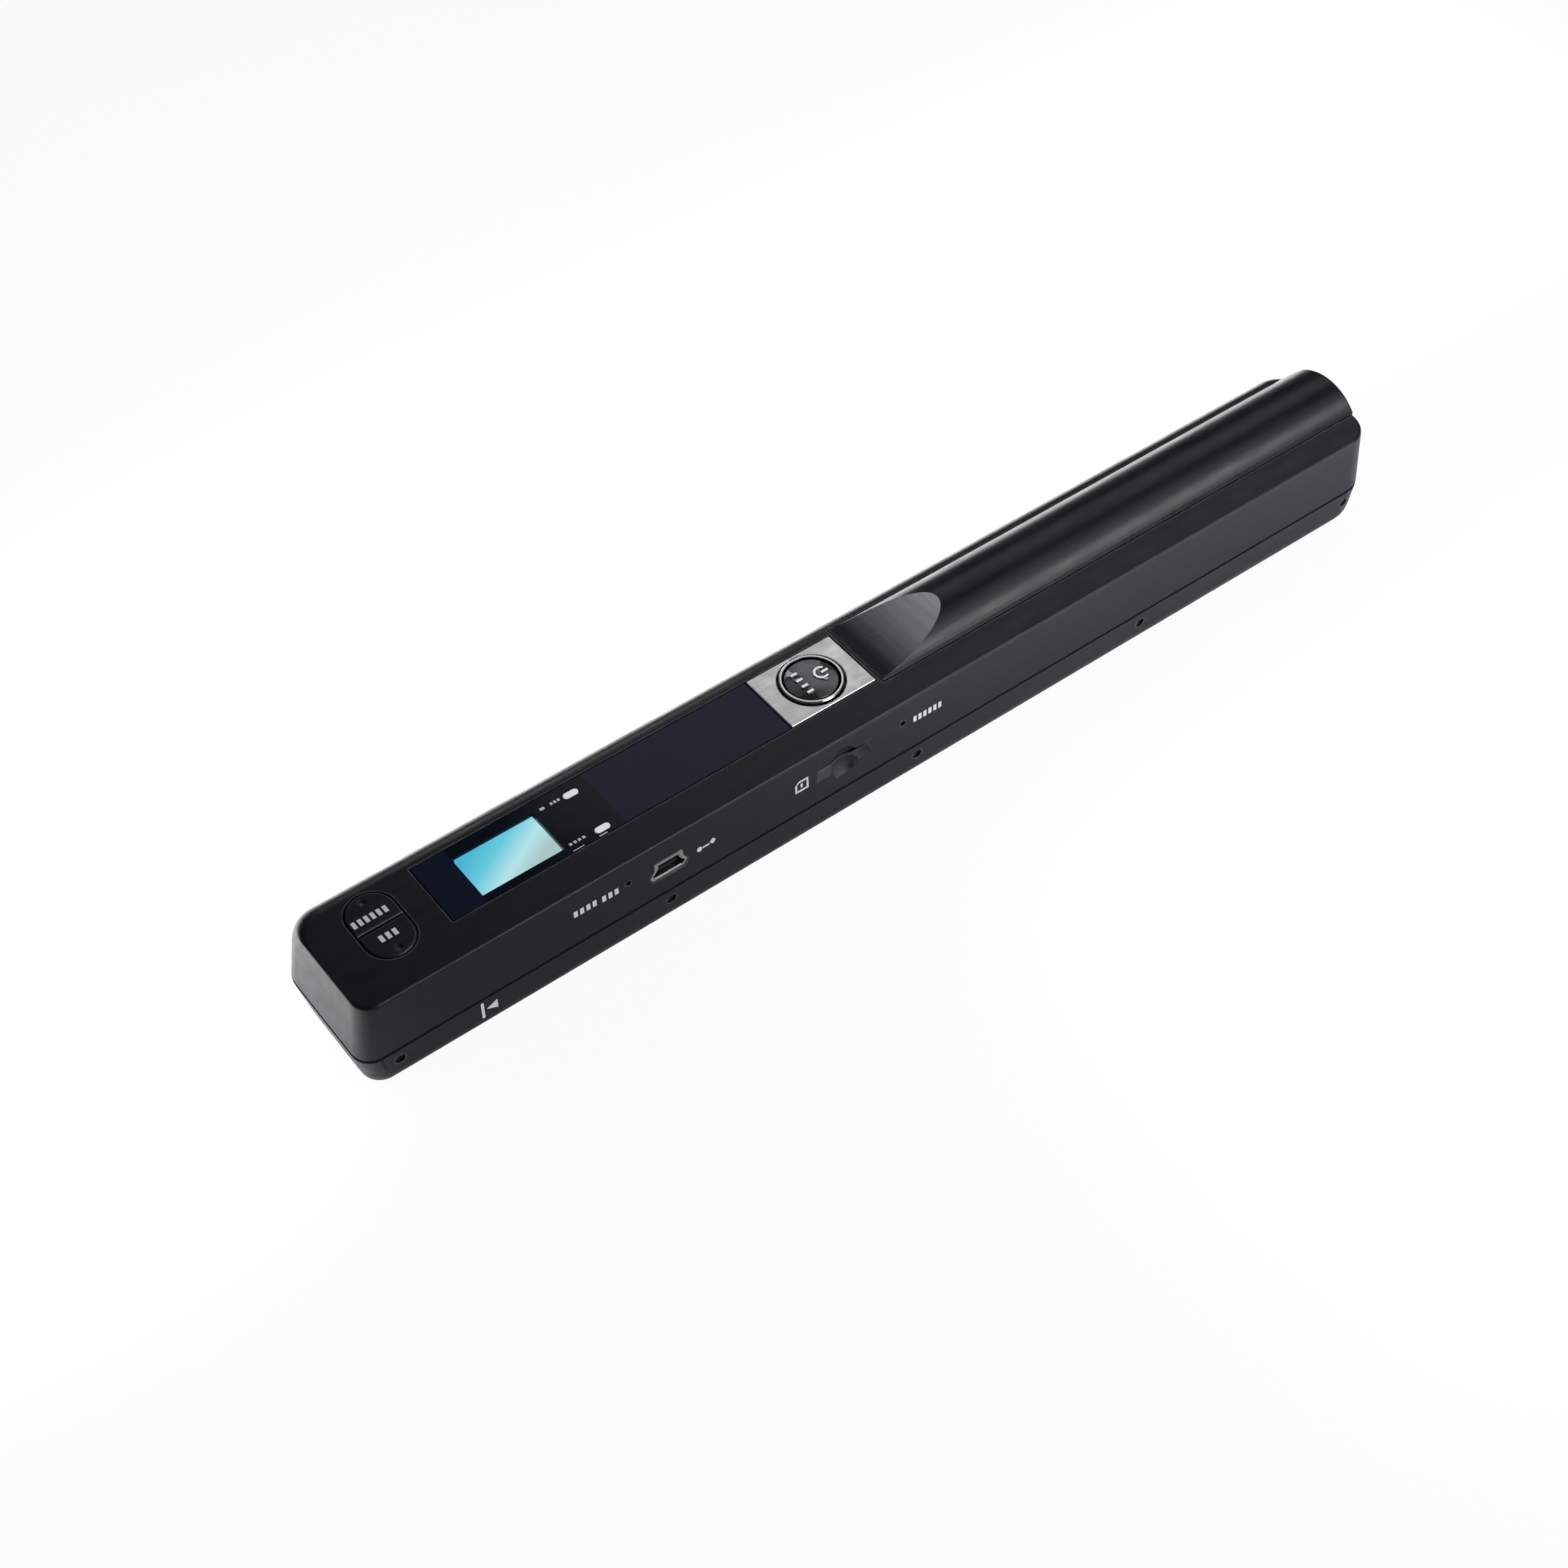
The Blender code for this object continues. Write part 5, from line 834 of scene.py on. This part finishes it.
def button_strokes():
    """The button's four raised bars, and its open ring with a bar, in plan."""
    low, high = [Vector(corner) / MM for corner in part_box("scan_button")]
    mid_y = (low.y + high.y) / 2
    bars_x = (low.x + high.x) / 2 - BAR_LEFT
    ring_x = (low.x + high.x) / 2 + RING_RIGHT
    strokes = []
    for k in range(BAR_COUNT):
        bar_y = mid_y + (k - (BAR_COUNT - 1) / 2) * BAR_PITCH
        strokes.append(rectangle(bars_x - BAR_HALF, bar_y - STROKE / 2,
                                 bars_x + BAR_HALF, bar_y + STROKE / 2))
    for k in range(RING_STEPS):
        first, last = [2 * math.pi * (RING_START + RING_TURN * (k + step) / RING_STEPS) for step in (0, 1)]
        corners = ((RING_INNER, first), (RING_OUTER, first), (RING_OUTER, last), (RING_INNER, last))
        strokes.append([(ring_x + radius * math.cos(turn), mid_y + radius * math.sin(turn))
                        for radius, turn in corners])
    strokes.append(rectangle(ring_x, mid_y - STROKE / 2, ring_x + RING_BAR, mid_y + STROKE / 2))
    return strokes


def make_trim(looks):
    """Print in its places, the socket's rim and the closed corner of the case."""
    wall = [block for label in WALL_LABELS for block in label_blocks(*label)]
    printed("wall_print", "upper_case", looks, wall + card_sign() + socket_sign(), True)
    printed("align_print", "lower_case", looks, [rectangle(*ALIGN_BAR), list(ALIGN_ARROW)], True)
    panel = [block for label in PANEL_LABELS for block in label_blocks(*label)]
    printed("panel_print", "fascia_panel", looks, panel, False)
    # The button's marks take the lamp material, whose glow is painted light on print.
    printed("button_print", "scan_button", looks, button_strokes(), False, look="lamp_white")
    socket_rim(looks)
    for node, label in KEY_LABELS.items():
        printed(node + "_print", node, looks, label_blocks(*label), False)
    corner_wall(looks)


# Stage

def make_floor():
    shape = bmesh.new()
    bmesh.ops.create_grid(shape, x_segments=2, y_segments=2, size=FLOOR_REACH)
    mesh = to_mesh("floor", shape)
    mesh.materials.append(floor_material())
    floor = bpy.data.objects.new("floor", mesh)
    bpy.context.scene.collection.objects.link(floor)


def make_sky():
    """White where it is seen, and faint as a light."""
    world = bpy.data.worlds.new("studio")
    bpy.context.scene.world = world
    world.use_nodes = True
    tree = world.node_tree
    sky = tree.nodes["Background"]
    sky.inputs["Color"].default_value = SKY_COLOUR
    strength = spread(tree, seen_directly(tree), SKY, 1.0, 0.0, 1.0)
    tree.links.new(strength, sky.inputs["Strength"])


def area_light(name, position, target, size, power):
    data = bpy.data.lights.new(name, "AREA")
    data.shape = "RECTANGLE"
    data.size, data.size_y = size
    data.energy = power
    lamp = bpy.data.objects.new(name, data)
    lamp.location = position
    lamp.rotation_euler = (Vector(target) - Vector(position)).to_track_quat("-Z", "Y").to_euler()
    bpy.context.scene.collection.objects.link(lamp)


def main():
    make_camera()
    looks = make_materials()
    slots = {part["node"]: part["material_slot"] for part in frame["record"]["subparts"]}
    for node in frame["nodes"]:
        dress(node, slots[node], looks)
    make_trim(looks)
    make_floor()
    make_sky()
    for lamp in LAMPS:
        area_light(*lamp)
    bpy.context.scene.view_settings.view_transform = "Standard"


main()
